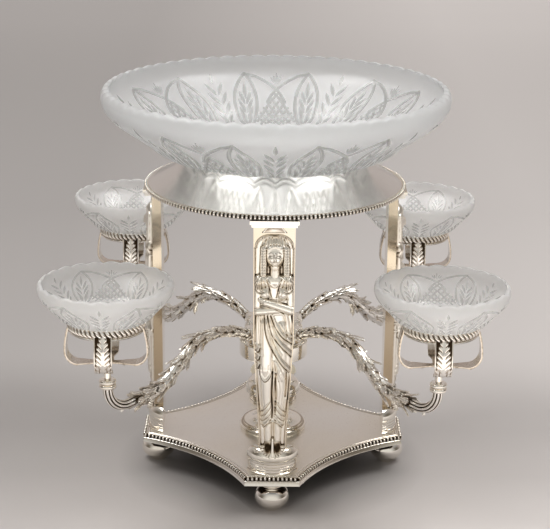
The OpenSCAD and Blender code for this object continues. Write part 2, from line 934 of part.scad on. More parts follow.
base_plate();
base_border();
stand_flange();
bowl_stand();
stand_border();
large_dish();
pedestal();
stem();
hub();
hub_cap();
tie_rod();
tie_nut();
for (i = [0:3]) {
    at_side(i) foot();
    at_side(i) socle();
    at_side(i) pilaster();
    at_side(i) figure();
    at_side(i) capital();
    at_corner(i) branch();
    at_corner(i) elbow();
    at_corner(i) nozzle();
    at_corner(i) post();
    at_corner(i) straps();
    at_corner(i) holder_ring();
    at_corner(i) small_dish();
}
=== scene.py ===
"""Dresses the epergne's frame: cast figures, foliate branches, bead and gadroon trim, cut-glass dishes."""

import math

import bmesh
import bpy
import numpy as np
from mathutils import Matrix, Vector


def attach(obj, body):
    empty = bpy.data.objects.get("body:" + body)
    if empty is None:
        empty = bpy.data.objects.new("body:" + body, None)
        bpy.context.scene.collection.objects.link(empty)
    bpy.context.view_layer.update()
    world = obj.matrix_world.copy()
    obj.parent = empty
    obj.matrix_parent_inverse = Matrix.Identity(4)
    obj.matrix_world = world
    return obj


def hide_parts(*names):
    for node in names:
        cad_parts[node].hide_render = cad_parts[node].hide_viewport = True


bl_info = {
    "name": "Epergne Dresser",
    "version": (1, 0, 0),
    "blender": (4, 5, 0),
    "location": "View3D > Sidebar > Epergne",
    "description": "Dresses the epergne's frame with cast, beaded, reeded and cut pieces",
    "category": "Object",
}

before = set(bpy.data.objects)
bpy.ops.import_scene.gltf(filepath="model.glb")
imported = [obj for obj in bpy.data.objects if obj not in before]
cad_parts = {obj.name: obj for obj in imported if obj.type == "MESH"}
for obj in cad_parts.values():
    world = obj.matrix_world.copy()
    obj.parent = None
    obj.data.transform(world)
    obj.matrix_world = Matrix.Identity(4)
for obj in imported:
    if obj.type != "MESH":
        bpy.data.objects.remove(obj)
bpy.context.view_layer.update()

# Sizes below are in millimetres in the frame's own axes; a mesh is turned to metres when it is made.
MM = 0.001
DEG = math.pi / 180
SIDES = ("front", "right", "back", "left")
CORNERS = ("front_right", "back_right", "back_left", "front_left")

# Base plate: its top, and the outline of its border's middle with canted corners and hollow sides
PLATE_TOP = 36.0
PLATE_HALF = 126.0
CANT_HALF = 24.5
SIDE_CENTRE = 195.7
SIDE_R = 184.8

# Beads of the base: half sizes along the row, outward and upward, height, and how far out of the outline
BASE_BEAD = (1.42, 1.8, 1.8)
BASE_BEAD_Z = 34.6
BASE_BEAD_OUT = 0.4

# Columns, made for the front: middle of the foot, flat back of the socle, and how far the middle of the
# socle's round lies behind that back
FOOT_AT = 114.4
SOCLE_BACK = 108.4
SOCLE_CUT = 10.2

# Slab of a column: its face, the heights of its foot, widest place and top, and the half widths there
SLAB_FACE = 116.9
SLAB_Z = 62.0
SLAB_MID_Z = 168.0
SLAB_TOP_Z = 278.0
SLAB_LOW_HALF = 12.25
SLAB_MID_HALF = 18.3
SLAB_TOP_HALF = 19.0

# Figure's panel: its lowest and highest places, its arch's start, half width, rise and roundness,
# where its rim starts, and the middle of the head
PANEL_LOW = 53.2
PANEL_HIGH = 270.2
ARCH_Z = 257.0
ARCH_HALF = 17.9
ARCH_RISE = 13.4
ARCH_POWER = 2.3
RIM_FROM = 64
HEAD_X = 0.7

# Centre: bore for the rod, the joints between pedestal, stem, hub and cap, and the tarnish in turned hollows
ROD_BORE = 2.7
STEM_Z = 57.0
HUB_Z = 113.5
CAP_Z = 150.5
HOLLOW_TARNISH = 0.7

# Stand: curve of its cone, thickness of the sheet, edge of the brim, and top of the ledge inside
STAND_CURVE = ((81.5, 314.4), (90.0, 305.9), (107.0, 295.6), (120.0, 288.6))
STAND_SHEET = 1.6
STAND_EDGE = 121.0
SEAT_Z = 306.95

# Bead row of the stand's edge
STAND_BEAD = (1.5, 2.1, 2.2)
BEAD_RING_R = 123.3
BEAD_RING_Z = 286.8

# Branch, made along +X: its root, the face of its socket, and its course as runs, each with the heading at
# both ends in degrees and the length; the last run is the elbow
ROOT = (36.0, 141.0)
SOCKET_FACE = 33.0
COURSE = (
    (30.0, -6.0, 92.0 * 36 * DEG),
    (-6.0, -39.0, 38.0 * 33 * DEG),
    (-39.0, -39.0, 32.0),
    (-39.0, -6.0, 46.0 * 33 * DEG),
    (-6.0, -6.0, 26.61),
    (-6.0, 90.0, 21.7 * 96 * DEG),
)
ELBOW_FROM = sum(run[2] for run in COURSE[:5])
ELBOW_TO = ELBOW_FROM + COURSE[5][2]

# Lobes on each side of an acanthus leaf
LEAF_LOBES = 3

# Dish holders, made at the branch's reach along +X: heights of the straps' flat and of the ring, and the radii
# of the ring inside, outside and at the ledge
REACH = 211.0
BOSS_Z = 157.72
RING_Z = 190.72
RING_IN = 30.3
RING_OUT = 33.4
RING_LEDGE = 26.8

# What all colour settings share
COLOUR_RANGE = {"size": 3, "min": 0, "max": 1}


class EpergneSizes(bpy.types.PropertyGroup):
    """Sizes and counts of the ornament"""

    base_bead_pitch: bpy.props.FloatProperty(
        name="Base bead pitch",
        description="Distance between beads round the base plate",
        default=0.0040,
        unit="LENGTH",
        subtype="DISTANCE",
    )
    stand_beads: bpy.props.IntProperty(
        name="Stand beads", description="Beads round the stand's edge", default=200, min=60
    )
    gadroons: bpy.props.IntProperty(
        name="Gadroons", description="Slanted lobes round a holder's ring", default=46, min=12
    )
    reeds: bpy.props.IntProperty(
        name="Reeds", description="Reeds round a branch's elbow", default=8, min=4
    )
    relief: bpy.props.FloatProperty(
        name="Relief",
        description="Height of the figures' carving as a share of the drawn height",
        default=1.0,
        subtype="FACTOR",
    )
    leaf_curl: bpy.props.FloatProperty(
        name="Leaf curl",
        description="How far the leaf tips leave the branch",
        default=0.010,
        unit="LENGTH",
        subtype="DISTANCE",
    )
    large_cut: bpy.props.FloatProperty(
        name="Large dish cut",
        description="Depth of the cuts in the large dish",
        default=0.0016,
        unit="LENGTH",
        subtype="DISTANCE",
    )
    small_cut: bpy.props.FloatProperty(
        name="Small dish cut",
        description="Depth of the cuts in the small dishes",
        default=0.0007,
        unit="LENGTH",
        subtype="DISTANCE",
    )


class EpergneFinishes(bpy.types.PropertyGroup):
    """Colours and gloss of the finishes"""

    silver: bpy.props.FloatVectorProperty(
        name="Silver",
        description="Colour of bright silver plate",
        default=(0.95, 0.925, 0.885),
        subtype="COLOR",
        **COLOUR_RANGE,
    )
    warm_silver: bpy.props.FloatVectorProperty(
        name="Warm silver",
        description="Colour of silver plate that has yellowed a little",
        default=(0.90, 0.83, 0.71),
        subtype="COLOR",
        **COLOUR_RANGE,
    )
    cream: bpy.props.FloatVectorProperty(
        name="Cream silver",
        description="Colour of the figures' satin silver",
        default=(0.97, 0.94, 0.875),
        subtype="COLOR",
        **COLOUR_RANGE,
    )
    yellowed: bpy.props.FloatVectorProperty(
        name="Yellowed silver",
        description="Colour of the column slabs where old lacquer has yellowed",
        default=(0.72, 0.58, 0.38),
        subtype="COLOR",
        **COLOUR_RANGE,
    )
    # tarnish colour: for oxide in hollows, and also for painted shade
    tarnish_and_shade: bpy.props.FloatVectorProperty(
        name="Tarnish",
        description="Colour of the oxide left in hollows",
        default=(0.035, 0.022, 0.012),
        subtype="COLOR",
        **COLOUR_RANGE,
    )
    gloss: bpy.props.FloatProperty(
        name="Polish",
        description="Roughness of polished silver",
        default=0.055,
        subtype="FACTOR",
        min=0,
        max=1,
    )
    frosted: bpy.props.FloatVectorProperty(
        name="Frosted glass",
        description="Colour of the frosted glass",
        default=(0.97, 0.965, 0.955),
        subtype="COLOR",
        **COLOUR_RANGE,
    )
    cut: bpy.props.FloatVectorProperty(
        name="Cut glass",
        description="Colour in the polished cuts",
        default=(0.60, 0.605, 0.595),
        subtype="COLOR",
        **COLOUR_RANGE,
    )
    steel: bpy.props.FloatVectorProperty(
        name="Steel",
        description="Colour of the hidden rod and nut",
        default=(0.45, 0.44, 0.43),
        subtype="COLOR",
        **COLOUR_RANGE,
    )
    floor: bpy.props.FloatVectorProperty(
        name="Floor",
        description="Colour of the studio floor",
        default=(0.60, 0.566, 0.552),
        subtype="COLOR",
        **COLOUR_RANGE,
    )


def sizes():
    return bpy.context.scene.epergne_sizes


def finishes():
    return bpy.context.scene.epergne_finishes


def rising(value, start, over):
    """0 up to a start, then up to 1 over a distance."""
    return np.clip((value - start) / over, 0, 1)


def falling(value, end, over):
    """Down from 1 to 0 at an end, over a distance before it."""
    return np.clip((end - value) / over, 0, 1)


def hump(value, middle, width):
    """1 at a middle, with a soft fall on both sides."""
    return np.exp(-(((value - middle) / width) ** 2))


def whole_turn(count):
    """Even angles round a circle."""
    return np.linspace(0, math.tau, count, endpoint=False)


def unit(rows):
    """Rows of a table as directions of length 1."""
    return rows / np.linalg.norm(rows, axis=1)[:, None]


def linked(name, data):
    """A new object in the scene."""
    thing = bpy.data.objects.new(name, data)
    bpy.context.collection.objects.link(thing)
    return thing


class Casting:
    """Closed shells of points in millimetres that become one mesh, with a value at each point for oxide and
    painted shade.
    """

    def __init__(self):
        self.points = []
        self.values = []
        self.faces = []
        self.total = 0

    def shell(self, rings, values=0.0, loop=False):
        """Adds rings of points, each closed round; the two ends are capped unless the rings run in a loop."""
        rings = np.asarray(rings, float)
        rows, around = rings.shape[:2]
        here = np.arange(rows * around).reshape(rows, around) + self.total
        ahead = np.roll(here, -1, axis=0)
        quads = np.stack([here, np.roll(here, -1, axis=1), np.roll(ahead, -1, axis=1), ahead], axis=-1)
        self.faces.extend(quads[: rows if loop else rows - 1].reshape(-1, 4).tolist())
        if not loop:
            self.faces.append(here[0, ::-1].tolist())
            self.faces.append(here[-1].tolist())
        self.points.append(rings.reshape(-1, 3))
        self.values.append(np.broadcast_to(values, (rows, around)).ravel())
        self.total += rows * around

    def mesh(self, name, sharp=50.0, layer="tarnish_and_shade"):
        mesh = bpy.data.meshes.new(name)
        mesh.from_pydata((np.concatenate(self.points) * MM).tolist(), [], self.faces)
        values = np.clip(np.concatenate(self.values), 0, 1).astype(np.float32)
        mesh.attributes.new(layer, "FLOAT", "POINT").data.foreach_set("value", values)
        work = bmesh.new()
        work.from_mesh(mesh)
        bmesh.ops.recalc_face_normals(work, faces=work.faces)
        work.to_mesh(mesh)
        work.free()
        mesh.shade_smooth()
        mesh.set_sharp_from_angle(angle=sharp * DEG)
        return mesh


def place(name, mesh, body, nodes, material, turn=0.0):
    """Shows a mesh, turned about the upright axis, riding on a body in the place of its CAD nodes."""
    if not mesh.materials:
        mesh.materials.append(material)
    piece = linked(name, mesh)
    piece.rotation_euler.z = turn
    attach(piece, body)
    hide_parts(*nodes)
    return piece


def finish_nodes(names, material):
    """Gives CAD nodes that stay their finish."""
    for name in names:
        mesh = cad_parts[name].data
        mesh.materials.clear()
        mesh.materials.append(material)


def side_turn(i):
    """Turn of a column's side, from the front."""
    return 90 * i * DEG


def corner_turn(i):
    """Turn of a branch's corner, from +X."""
    return (90 * i - 45) * DEG


def bead(centre, along, out, half, rows=7, around=12):
    """Rings of one bead, with its half sizes along its row, outward and upward, and its painted shade."""
    lat = np.linspace(-78, 78, rows)[:, None] * DEG
    lon = np.arange(around)[None, :] * math.tau / around
    across = half[0] * np.cos(lat) * np.cos(lon)
    outward = half[1] * np.cos(lat) * np.sin(lon)
    upward = half[2] * np.sin(lat) * np.ones_like(lon)
    points = np.asarray(centre) + across[..., None] * np.asarray(along)
    points = points + outward[..., None] * np.asarray(out)
    points[..., 2] += upward
    # painted shade: darker on the faces that turn away from out and up, and at the ends where one bead meets
    # the next
    facing = np.maximum(np.cos(lat) * np.sin(lon), np.sin(lat) * np.ones_like(lon))
    side = np.abs(np.cos(lat) * np.cos(lon))
    shade_and_oxide = np.clip(0.9 - 1.5 * facing, 0, 1) + np.clip(3.2 * side - 1.9, 0, 1)
    return points, shade_and_oxide


def turned_ring(casting, section, values, steps=360):
    """Turns a closed section of (radius, height) about the upright axis."""
    turn = whole_turn(steps)[:, None]
    r, z = np.asarray(section, float).T
    height = np.broadcast_to(z, (steps, len(z)))
    rings = np.stack([r * np.cos(turn), r * np.sin(turn), height], axis=-1)
    casting.shell(rings, np.broadcast_to(values, len(z))[None, :], loop=True)


def turned_mesh(name, section, steps, sharp, hollows=()):
    """A turned piece, with tarnish in the hollows of its section."""
    casting = Casting()
    turned_ring(casting, section, [HOLLOW_TARNISH * (at in hollows) for at in section], steps)
    return casting.mesh(name, sharp=sharp)


def quarter(centre, radius, first, last, count=14):
    """Places on a part of a circle in a section, between two angles in degrees."""
    turn = np.linspace(first, last, count) * DEG
    return [(centre[0] + radius * math.cos(a), centre[1] + radius * math.sin(a)) for a in turn]


def stepped_pedestal():
    """Foot of the centre stem: two rings and a hollow-curved rise."""
    section = [
        (ROD_BORE, PLATE_TOP), (32.1, PLATE_TOP), (32.5, 36.4), (32.5, 37.6), (32.1, 37.8), (32.1, 38.0),
        (32.5, 38.2), (32.5, 40.2), (32.2, 40.5), (30.3, 40.5), (30.0, 40.8), (30.0, 43.2), (29.7, 43.5),
        *quarter((27.5, STEM_Z), 13.5, 270, 180, 24)[:-1],
        (14.6, 55.6), (15.2, 56.2), (15.0, STEM_Z), (ROD_BORE, STEM_Z),
    ]
    hollows = ((32.1, 37.8), (32.1, 38.0), (30.3, 40.5), (29.7, 43.5), (14.6, 55.6))
    return turned_mesh("stepped_pedestal", section, 360, 30, hollows)


def knopped_stem():
    """Turned stem with its wide knop: a drum under a round-shouldered ring."""
    section = [
        (ROD_BORE, STEM_Z), (10.5, STEM_Z), *quarter((12.2, 60.0), 3.2, 180, 90, 8),
        (22.9, 63.1), (23.4, 63.5), (23.4, 66.6), (22.9, 67.0), (23.4, 67.4), (23.4, 73.4), (24.2, 73.9),
        (26.1, 74.1), (26.5, 74.6), (26.5, 77.0), (26.1, 77.4), (26.5, 77.8),
        *quarter((17.5, 79.0), 9.0, 0, 90, 18), *quarter((14.0, 92.0), 4.0, 270, 180, 8),
        (9.0, 92.6), (9.0, HUB_Z), (ROD_BORE, HUB_Z),
    ]
    hollows = ((22.9, 67.0), (24.2, 73.9), (23.4, 73.4), (26.1, 77.4))
    return turned_mesh("knopped_stem", section, 360, 38, hollows)


def cut_from(body, joined, removed):
    """A mesh with other closed meshes joined to it and more cut away from it."""
    tools = [(mesh, "UNION") for mesh in joined] + [(mesh, "DIFFERENCE") for mesh in removed]
    whole = linked("whole", body)
    made = [whole]
    for mesh, action in tools:
        tool = linked("tool", mesh)
        made.append(tool)
        step = whole.modifiers.new("cut", "BOOLEAN")
        step.operation, step.object, step.solver = action, tool, "EXACT"
    finished = whole.evaluated_get(bpy.context.evaluated_depsgraph_get())
    result = bpy.data.meshes.new_from_object(finished)
    for thing in made:
        bpy.data.objects.remove(thing)
    return result


def box_along(turn, first, last, half):
    """A square bar on the sockets' level, from one distance out to another."""
    casting = Casting()
    c, s = math.cos(turn), math.sin(turn)
    square = [(-half, -half), (half, -half), (half, half), (-half, half)]
    ends = [[(c * q - s * w, s * q + c * w, ROOT[1] + up) for w, up in square] for q in (first, last)]
    casting.shell(ends)
    return casting.mesh("bar")


def socketed_hub():
    """Drum and round-shouldered body turned smooth, with four square sockets for the branches."""
    section = [
        (ROD_BORE, HUB_Z), (32.9, HUB_Z),
        *quarter((32.5, 114.5), 1.0, -60, 0, 5), *quarter((32.5, 127.4), 1.0, 0, 90, 6),
        (29.6, 128.5), (29.0, 129.0), *quarter((17.0, 138.5), 12.0, 0, 90, 22), (ROD_BORE, CAP_Z),
    ]
    turns = [corner_turn(i) for i in range(4)]
    sockets = [box_along(turn, 16.0, SOCKET_FACE, 6.0) for turn in turns]
    holes = [box_along(turn, SOCKET_FACE - 13.0, SOCKET_FACE + 1.0, 3.9) for turn in turns]
    mesh = cut_from(turned_mesh("turned_hub", section, 240, 50), sockets, holes)
    mesh.shade_smooth()
    mesh.set_sharp_from_angle(angle=32 * DEG)
    return mesh


def domed_cap():
    """Cap of the hub with a round button."""
    section = [
        (ROD_BORE, CAP_Z), (14.6, CAP_Z),
        *[(r, 159.4 - 8.6 * (r / 15.0) ** 2) for r in np.linspace(15.0, 4.6, 14)],
        (4.0, 159.6), *quarter((0.0, 163.0), 5.0, -35, 86, 16), (0.2, 167.9), (0.2, 160.0), (ROD_BORE, 158.0),
    ]
    return turned_mesh("domed_cap", section, 120, 38)


def bun_foot():
    """Round foot with a neck, and the screw that goes up through the plate; made for the front."""
    section = [
        (0.1, 0.0), (7.4, 0.0), (8.4, 0.9), (9.4, 2.2), *quarter((6.4, 13.0), 10.1, -66, 66, 26),
        (9.6, 22.6), (9.0, 23.4), (9.2, 24.2), (10.2, 25.0), (10.6, 26.2), (10.4, 27.5),
        (2.5, 27.5), (2.5, 47.5), (0.1, 47.5),
    ]
    mesh = turned_mesh("bun_foot", section, 96, 40)
    mesh.transform(Matrix.Translation((0, -FOOT_AT * MM, 0)))
    return mesh


def round_socle():
    """Half-round column base with a flat back: a ringed drum under a cushion shoulder; made for the front."""
    drum, line = 24.6, 24.2
    levels = [(25.6, PLATE_TOP), (26.0, 36.4), (26.0, 38.0), (25.3, 38.5), (drum, 38.8)]
    levels += [(drum, 41.0), (line, 41.3), (drum, 41.6), (drum, 43.8), (line, 44.1), (drum, 44.4)]
    levels += [(drum, 46.6), (line, 46.9), (drum, 47.2), (drum, 49.6), (25.0, 50.2), (25.6, 50.4)]
    levels += [(26.0, 51.0), (26.0, 53.0), *quarter((17.0, 53.0), 9.0, 4, 90, 18)]
    across = 90
    middle = SOCLE_CUT - SOCLE_BACK
    rings = []
    for r, z in levels:
        end = math.acos(SOCLE_CUT / r)
        arc = np.linspace(-end, end, across)
        rings.append(np.column_stack([r * np.sin(arc), middle - r * np.cos(arc), np.full(across, z)]))
    shade_and_oxide = [HOLLOW_TARNISH * (r in (line, 25.3)) for r, _ in levels]
    casting = Casting()
    casting.shell(rings, np.array(shade_and_oxide)[:, None])
    return casting.mesh("round_socle", sharp=38)


def spun_stand():
    """Hollow cone of the stand with its flat brim, and the ledge inside for the large dish."""
    casting = Casting()
    outer = bezier(*STAND_CURVE, 64)
    run = unit(np.gradient(outer, axis=0))
    inner = outer + STAND_SHEET * np.column_stack([run[:, 1], -run[:, 0]])
    low = STAND_CURVE[3][1] - STAND_SHEET
    brim = [(STAND_EDGE, STAND_CURVE[3][1]), (STAND_EDGE, low)]
    inner = inner[inner[:, 1] > low + 0.05]
    lip = [(STAND_CURVE[0][0] - STAND_SHEET, STAND_CURVE[0][1])]
    turned_ring(casting, np.concatenate([outer, brim, inner[::-1], lip]), 0.0)
    below = SEAT_Z - STAND_SHEET
    turned_ring(casting, [(72.9, below), (90.2, below), (88.6, SEAT_Z), (72.9, SEAT_Z)], 0.0)
    return casting.mesh("spun_stand", sharp=40)


def bezier(a, b, c, d, count):
    """Places on a curve from a to d that b and c pull at."""
    t = np.linspace(0, 1, count)[:, None]
    a, b, c, d = (np.asarray(p, float) for p in (a, b, c, d))
    return (1 - t) ** 3 * a + 3 * t * (1 - t) ** 2 * b + 3 * t * t * (1 - t) * c + t**3 * d


def even_run(points, count):
    """The same run with its points at even distances."""
    step = np.hypot(*np.diff(points, axis=0).T)
    far = np.concatenate([[0], np.cumsum(step)])
    at = np.linspace(0, far[-1], count)
    return np.stack([np.interp(at, far, points[:, k]) for k in range(2)], axis=1)


def shader_of(name):
    """A new node material and its shader."""
    material = bpy.data.materials.new(name)
    material.use_nodes = True
    tree = material.node_tree
    return material, tree, tree.nodes["Principled BSDF"]


def feed(tree, socket, value):
    """Links a socket to another one, or sets its value."""
    if isinstance(value, bpy.types.NodeSocket):
        tree.links.new(value, socket)
    else:
        socket.default_value = value


def node(tree, kind, **inputs):
    """A node with its inputs fed by name."""
    made = tree.nodes.new(kind)
    for key, value in inputs.items():
        feed(tree, made.inputs[key.replace("_", " ")], value)
    return made


def noise(tree, where, scale, detail, **more):
    """Value of a fine or coarse noise."""
    return node(tree, "ShaderNodeTexNoise", Vector=where, Scale=scale, Detail=detail, **more).outputs["Fac"]


def blend(tree, factor, first, second, how="MIX"):
    """Colour between two colours."""
    made = tree.nodes.new("ShaderNodeMix")
    made.data_type, made.blend_type = "RGBA", how
    feed(tree, made.inputs["Factor"], factor)
    feed(tree, made.inputs["A"], first)
    feed(tree, made.inputs["B"], second)
    return made.outputs["Result"]


def maths(tree, action, *values):
    """Result of a sum on one value or two."""
    made = tree.nodes.new("ShaderNodeMath")
    made.operation = action
    for socket, value in zip(made.inputs, values):
        feed(tree, socket, value)
    return made.outputs[0]


def axes(tree, vector):
    """X, Y and Z of a vector."""
    return node(tree, "ShaderNodeSeparateXYZ", Vector=vector).outputs


def object_place(tree):
    """Place on an object, in its own axes."""
    return tree.nodes.new("ShaderNodeTexCoord").outputs["Object"]


def facing(tree):
    """X, Y and Z of the way a face looks."""
    return axes(tree, tree.nodes.new("ShaderNodeNewGeometry").outputs["True Normal"])


def mesh_layer(tree, name):
    """Value of a mesh's own layer."""
    layer = tree.nodes.new("ShaderNodeAttribute")
    layer.attribute_name = name
    return layer.outputs["Fac"]


def set_bump(tree, shader, height, strength, distance):
    """Gives a shader fine bumps."""
    bump = node(tree, "ShaderNodeBump", Strength=strength, Distance=distance, Height=height)
    tree.links.new(bump.outputs["Normal"], shader.inputs["Normal"])


def ramp(tree, factor, stops):
    """A colour ramp over a factor: stops are (place, colour)."""
    made = tree.nodes.new("ShaderNodeValToRGB")
    tree.links.new(factor, made.inputs["Fac"])
    keys = made.color_ramp.elements
    while len(keys) < len(stops):
        keys.new(0.5)
    for key, (at, colour) in zip(keys, stops):
        key.position = at
        key.color = (*colour, 1.0)
    return made.outputs["Color"]


def spread(tree, value, low, high, start=0.0, end=1.0):
    """Maps a value from one range to another."""
    ends = {"From_Min": start, "From_Max": end, "To_Min": low, "To_Max": high}
    return node(tree, "ShaderNodeMapRange", Value=value, **ends).outputs["Result"]


def browned_sides(tree, colour, across):
    """The colour with brown on the faces that look along one axis, deeper lower down."""
    side = spread(tree, maths(tree, "ABSOLUTE", facing(tree)[across]), 0, 1, 0.6, 0.9)
    low = spread(tree, axes(tree, object_place(tree))["Z"], 0.6, 0.1, 0.06, 0.26)
    brown = (*(0.55 * c * c for c in finishes().yellowed), 1)
    return blend(tree, maths(tree, "MULTIPLY", side, low), colour, brown)


def silver_plate(name, rough, tarnished_and_shaded=False, scratch=0.02, shaded_underside=False, tones=None, browned=None):
    """Silver plate with slow yellowing and polishing marks.

    Relief may have oxide in its hollows and painted shade, an underside may be painted dark as shade, and a
    slab's sides may be browned.
    """
    material, tree, shader = shader_of(name)
    f = finishes()
    pale, warm = tones or (f.silver, f.warm_silver)
    where = object_place(tree)
    marks = noise(tree, where, 900.0, 3.0, Roughness=0.7)
    colour = ramp(tree, noise(tree, where, 9.0, 2.0, Roughness=0.5), [(0.30, pale), (0.85, warm)])
    uneven = 0.03 + 8 * scratch
    roughness = spread(tree, marks, rough * (1 - uneven), rough * (1 + 1.5 * uneven), 0.3, 0.75)
    # the mesh layer holds oxide in hollows and painted shade; both turn the colour brown and then dark
    if tarnished_and_shaded:
        grain = spread(tree, noise(tree, where, 420.0, 3.0), 0.8, 1.15, 0.3, 0.7)
        amount = maths(tree, "MULTIPLY", mesh_layer(tree, "tarnish_and_shade"), grain)
        brown = tuple(0.5 * w * c for w, c in zip(f.warm_silver, (0.80, 0.62, 0.42)))
        oxide_and_shade = ramp(tree, amount, [(0.45, brown), (0.9, f.tarnish_and_shade)])
        colour = blend(tree, spread(tree, amount, 0, 1, 0.05, 0.7), colour, oxide_and_shade)
        roughness = spread(tree, amount, rough, 0.5, 0.1, 1.0)
    if browned:
        colour = browned_sides(tree, colour, browned)
    # painted shade: faces that look down get the tarnish colour
    if shaded_underside:
        below = spread(tree, facing(tree)["Z"], 1, 0, -0.9, -0.5)
        colour = blend(tree, below, colour, (*f.tarnish_and_shade, 1))
    feed(tree, shader.inputs["Base Color"], colour)
    feed(tree, shader.inputs["Roughness"], roughness)
    shader.inputs["Metallic"].default_value = 1.0
    set_bump(tree, shader, marks, scratch, 0.0004)
    return material


def frosted_glass(name, clear, rough, cut_share=1.0, tint=(1.0, 1.0, 1.0)):
    """Frosted glass with polished cuts: the cut layer of the mesh says where the wheel went."""
    material, tree, shader = shader_of(name)
    f = finishes()
    where = object_place(tree)
    cuts = mesh_layer(tree, "cut")
    white = tuple(c * t for c, t in zip(f.frosted, tint))
    cloudy = tuple(0.97 * c for c in white)
    ground = ramp(tree, noise(tree, where, 26.0, 3.0), [(0.35, white), (0.7, cloudy)])
    colour = blend(tree, spread(tree, cuts, 0, cut_share), ground, (*f.cut, 1))
    feed(tree, shader.inputs["Base Color"], colour)
    feed(tree, shader.inputs["Roughness"], spread(tree, cuts, rough, 0.06))
    shader.inputs["Transmission Weight"].default_value = clear
    shader.inputs["IOR"].default_value = 1.45
    shader.inputs["Subsurface Weight"].default_value = 0.8
    shader.inputs["Subsurface Radius"].default_value = (1.0, 1.0, 1.0)
    shader.inputs["Subsurface Scale"].default_value = 0.012
    shader.inputs["Coat Weight"].default_value = 0.25
    shader.inputs["Coat Roughness"].default_value = 0.18
    set_bump(tree, shader, noise(tree, where, 2600.0, 2.0), 0.03, 0.0003)
    return material


def plain_steel(name):
    """Turned steel of the hidden rod and nut."""
    material, tree, shader = shader_of(name)
    turned = noise(tree, object_place(tree), 600.0, 2.0)
    bright = finishes().steel
    dull = tuple(0.8 * c for c in bright)
    feed(tree, shader.inputs["Base Color"], ramp(tree, turned, [(0.3, bright), (0.7, dull)]))
    feed(tree, shader.inputs["Roughness"], spread(tree, turned, 0.3, 0.5))
    shader.inputs["Metallic"].default_value = 1.0
    return material


def plate_outline():
    """Places round the base plate's edge, counter-clockwise, with their mitred outward directions."""
    first = math.atan2(SIDE_CENTRE - PLATE_HALF, CANT_HALF - SIDE_CENTRE)
    last = math.atan2(SIDE_CENTRE - CANT_HALF, PLATE_HALF - SIDE_CENTRE)
    across = np.linspace(-CANT_HALF, CANT_HALF, 17)[:-1]
    cant = np.stack([across, np.full(len(across), -PLATE_HALF)], axis=1)
    bend = np.linspace(first, last, 61)[:-1]
    hollow = np.stack([SIDE_CENTRE + SIDE_R * np.cos(bend), -SIDE_CENTRE + SIDE_R * np.sin(bend)], axis=1)
    one_side = np.concatenate([cant, hollow])
    places = []
    for i in range(4):
        c, s = math.cos(side_turn(i)), math.sin(side_turn(i))
        places.append(one_side @ np.array([[c, s], [-s, c]]))
    places = np.concatenate(places)
    before = unit(places - np.roll(places, 1, axis=0))
    after = unit(np.roll(places, -1, axis=0) - places)
    mean = unit(before + after)
    out = np.stack([mean[:, 1], -mean[:, 0]], axis=1)
    return places, out / np.sum(mean * after, axis=1)[:, None]


def swept_moulding(casting, places, out, section, values):
    """Sweeps a closed section of (outward, height) round the plate."""
    rings = np.zeros((len(places), len(section), 3))
    for k, (away, height) in enumerate(section):
        rings[:, k, :2] = places + away * out
        rings[:, k, 2] = height
    casting.shell(rings, np.asarray(values)[None, :], loop=True)


def beaded_base_border():
    """Border of the base plate: sloped fascia, dark channel with beads between two fillets, and inner line."""
    casting = Casting()
    places, out = plate_outline()
    channel = [
        (-2.6, 31.7), (0.4, 31.7), (1.4, 31.8), (1.8, 32.2), (1.5, 32.6), (0.5, 32.7),
        (-0.9, 32.9), (-1.0, 35.4), (-1.1, 36.1), (-1.5, 36.4), (-2.2, 36.4), (-2.6, 36.1),
    ]
    swept_moulding(casting, places, out, channel, [0.3, 0.1, 0, 0, 0.1, 0.8, 1, 1, 0.5, 0, 0, 0.8])
    fascia = [(-0.8, 27.6), (1.5, 27.6), (1.8, 27.9), (1.7, 28.4), (0.4, 31.5), (-0.8, 31.8)]
    swept_moulding(casting, places, out, fascia, [0.6, 0.4, 0, 0, 0.3, 0.9])
    fillet = [(-5.2, 35.9), (-5.0, 36.15), (-4.5, 36.3), (-4.0, 36.15), (-3.8, 35.9)]
    swept_moulding(casting, places, out, fillet, [0.9, 0.6, 0, 0, 0.7])
    closed = np.concatenate([places, places[:1]])
    far = np.concatenate([[0], np.cumsum(np.linalg.norm(np.diff(closed, axis=0), axis=1))])
    count = round(far[-1] * MM / sizes().base_bead_pitch / 4) * 4
    for at in (np.arange(count) + 0.5) * far[-1] / count:
        k = min(int(np.searchsorted(far, at, side="right")) - 1, len(places) - 1)
        along = closed[k + 1] - closed[k]
        along /= np.linalg.norm(along)
        outward = np.array([along[1], -along[0], 0])
        centre = closed[k] + along * (at - far[k]) + BASE_BEAD_OUT * outward[:2]
        points, shade_and_oxide = bead((*centre, BASE_BEAD_Z), (*along, 0), outward, BASE_BEAD)
        casting.shell(points, shade_and_oxide)
    return casting.mesh("base_border_beads")


def beaded_stand_edge():
    """Edge of the stand: a dark channel with a row of beads between two fillets."""
    casting = Casting()
    section = [
        (120.6, 284.5), (122.4, 284.5), (123.3, 284.8), (122.4, 285.2), (121.6, 285.8), (121.5, 287.6),
        (121.9, 288.6), (121.8, 289.1), (121.2, 289.2), (120.6, 288.6),
    ]
    turned_ring(casting, section, [0.4, 0.2, 0.2, 0.9, 1, 1, 0.5, 0, 0, 0.1], 240)
    count = sizes().stand_beads
    for i in range(count):
        a = math.tau * (i + 0.5) / count
        outward = np.array([math.cos(a), math.sin(a), 0])
        along = np.array([-math.sin(a), math.cos(a), 0])
        points, shade_and_oxide = bead(BEAD_RING_R * outward + (0, 0, BEAD_RING_Z), along, outward, STAND_BEAD)
        casting.shell(points, shade_and_oxide)
    return casting.mesh("stand_border_beads")


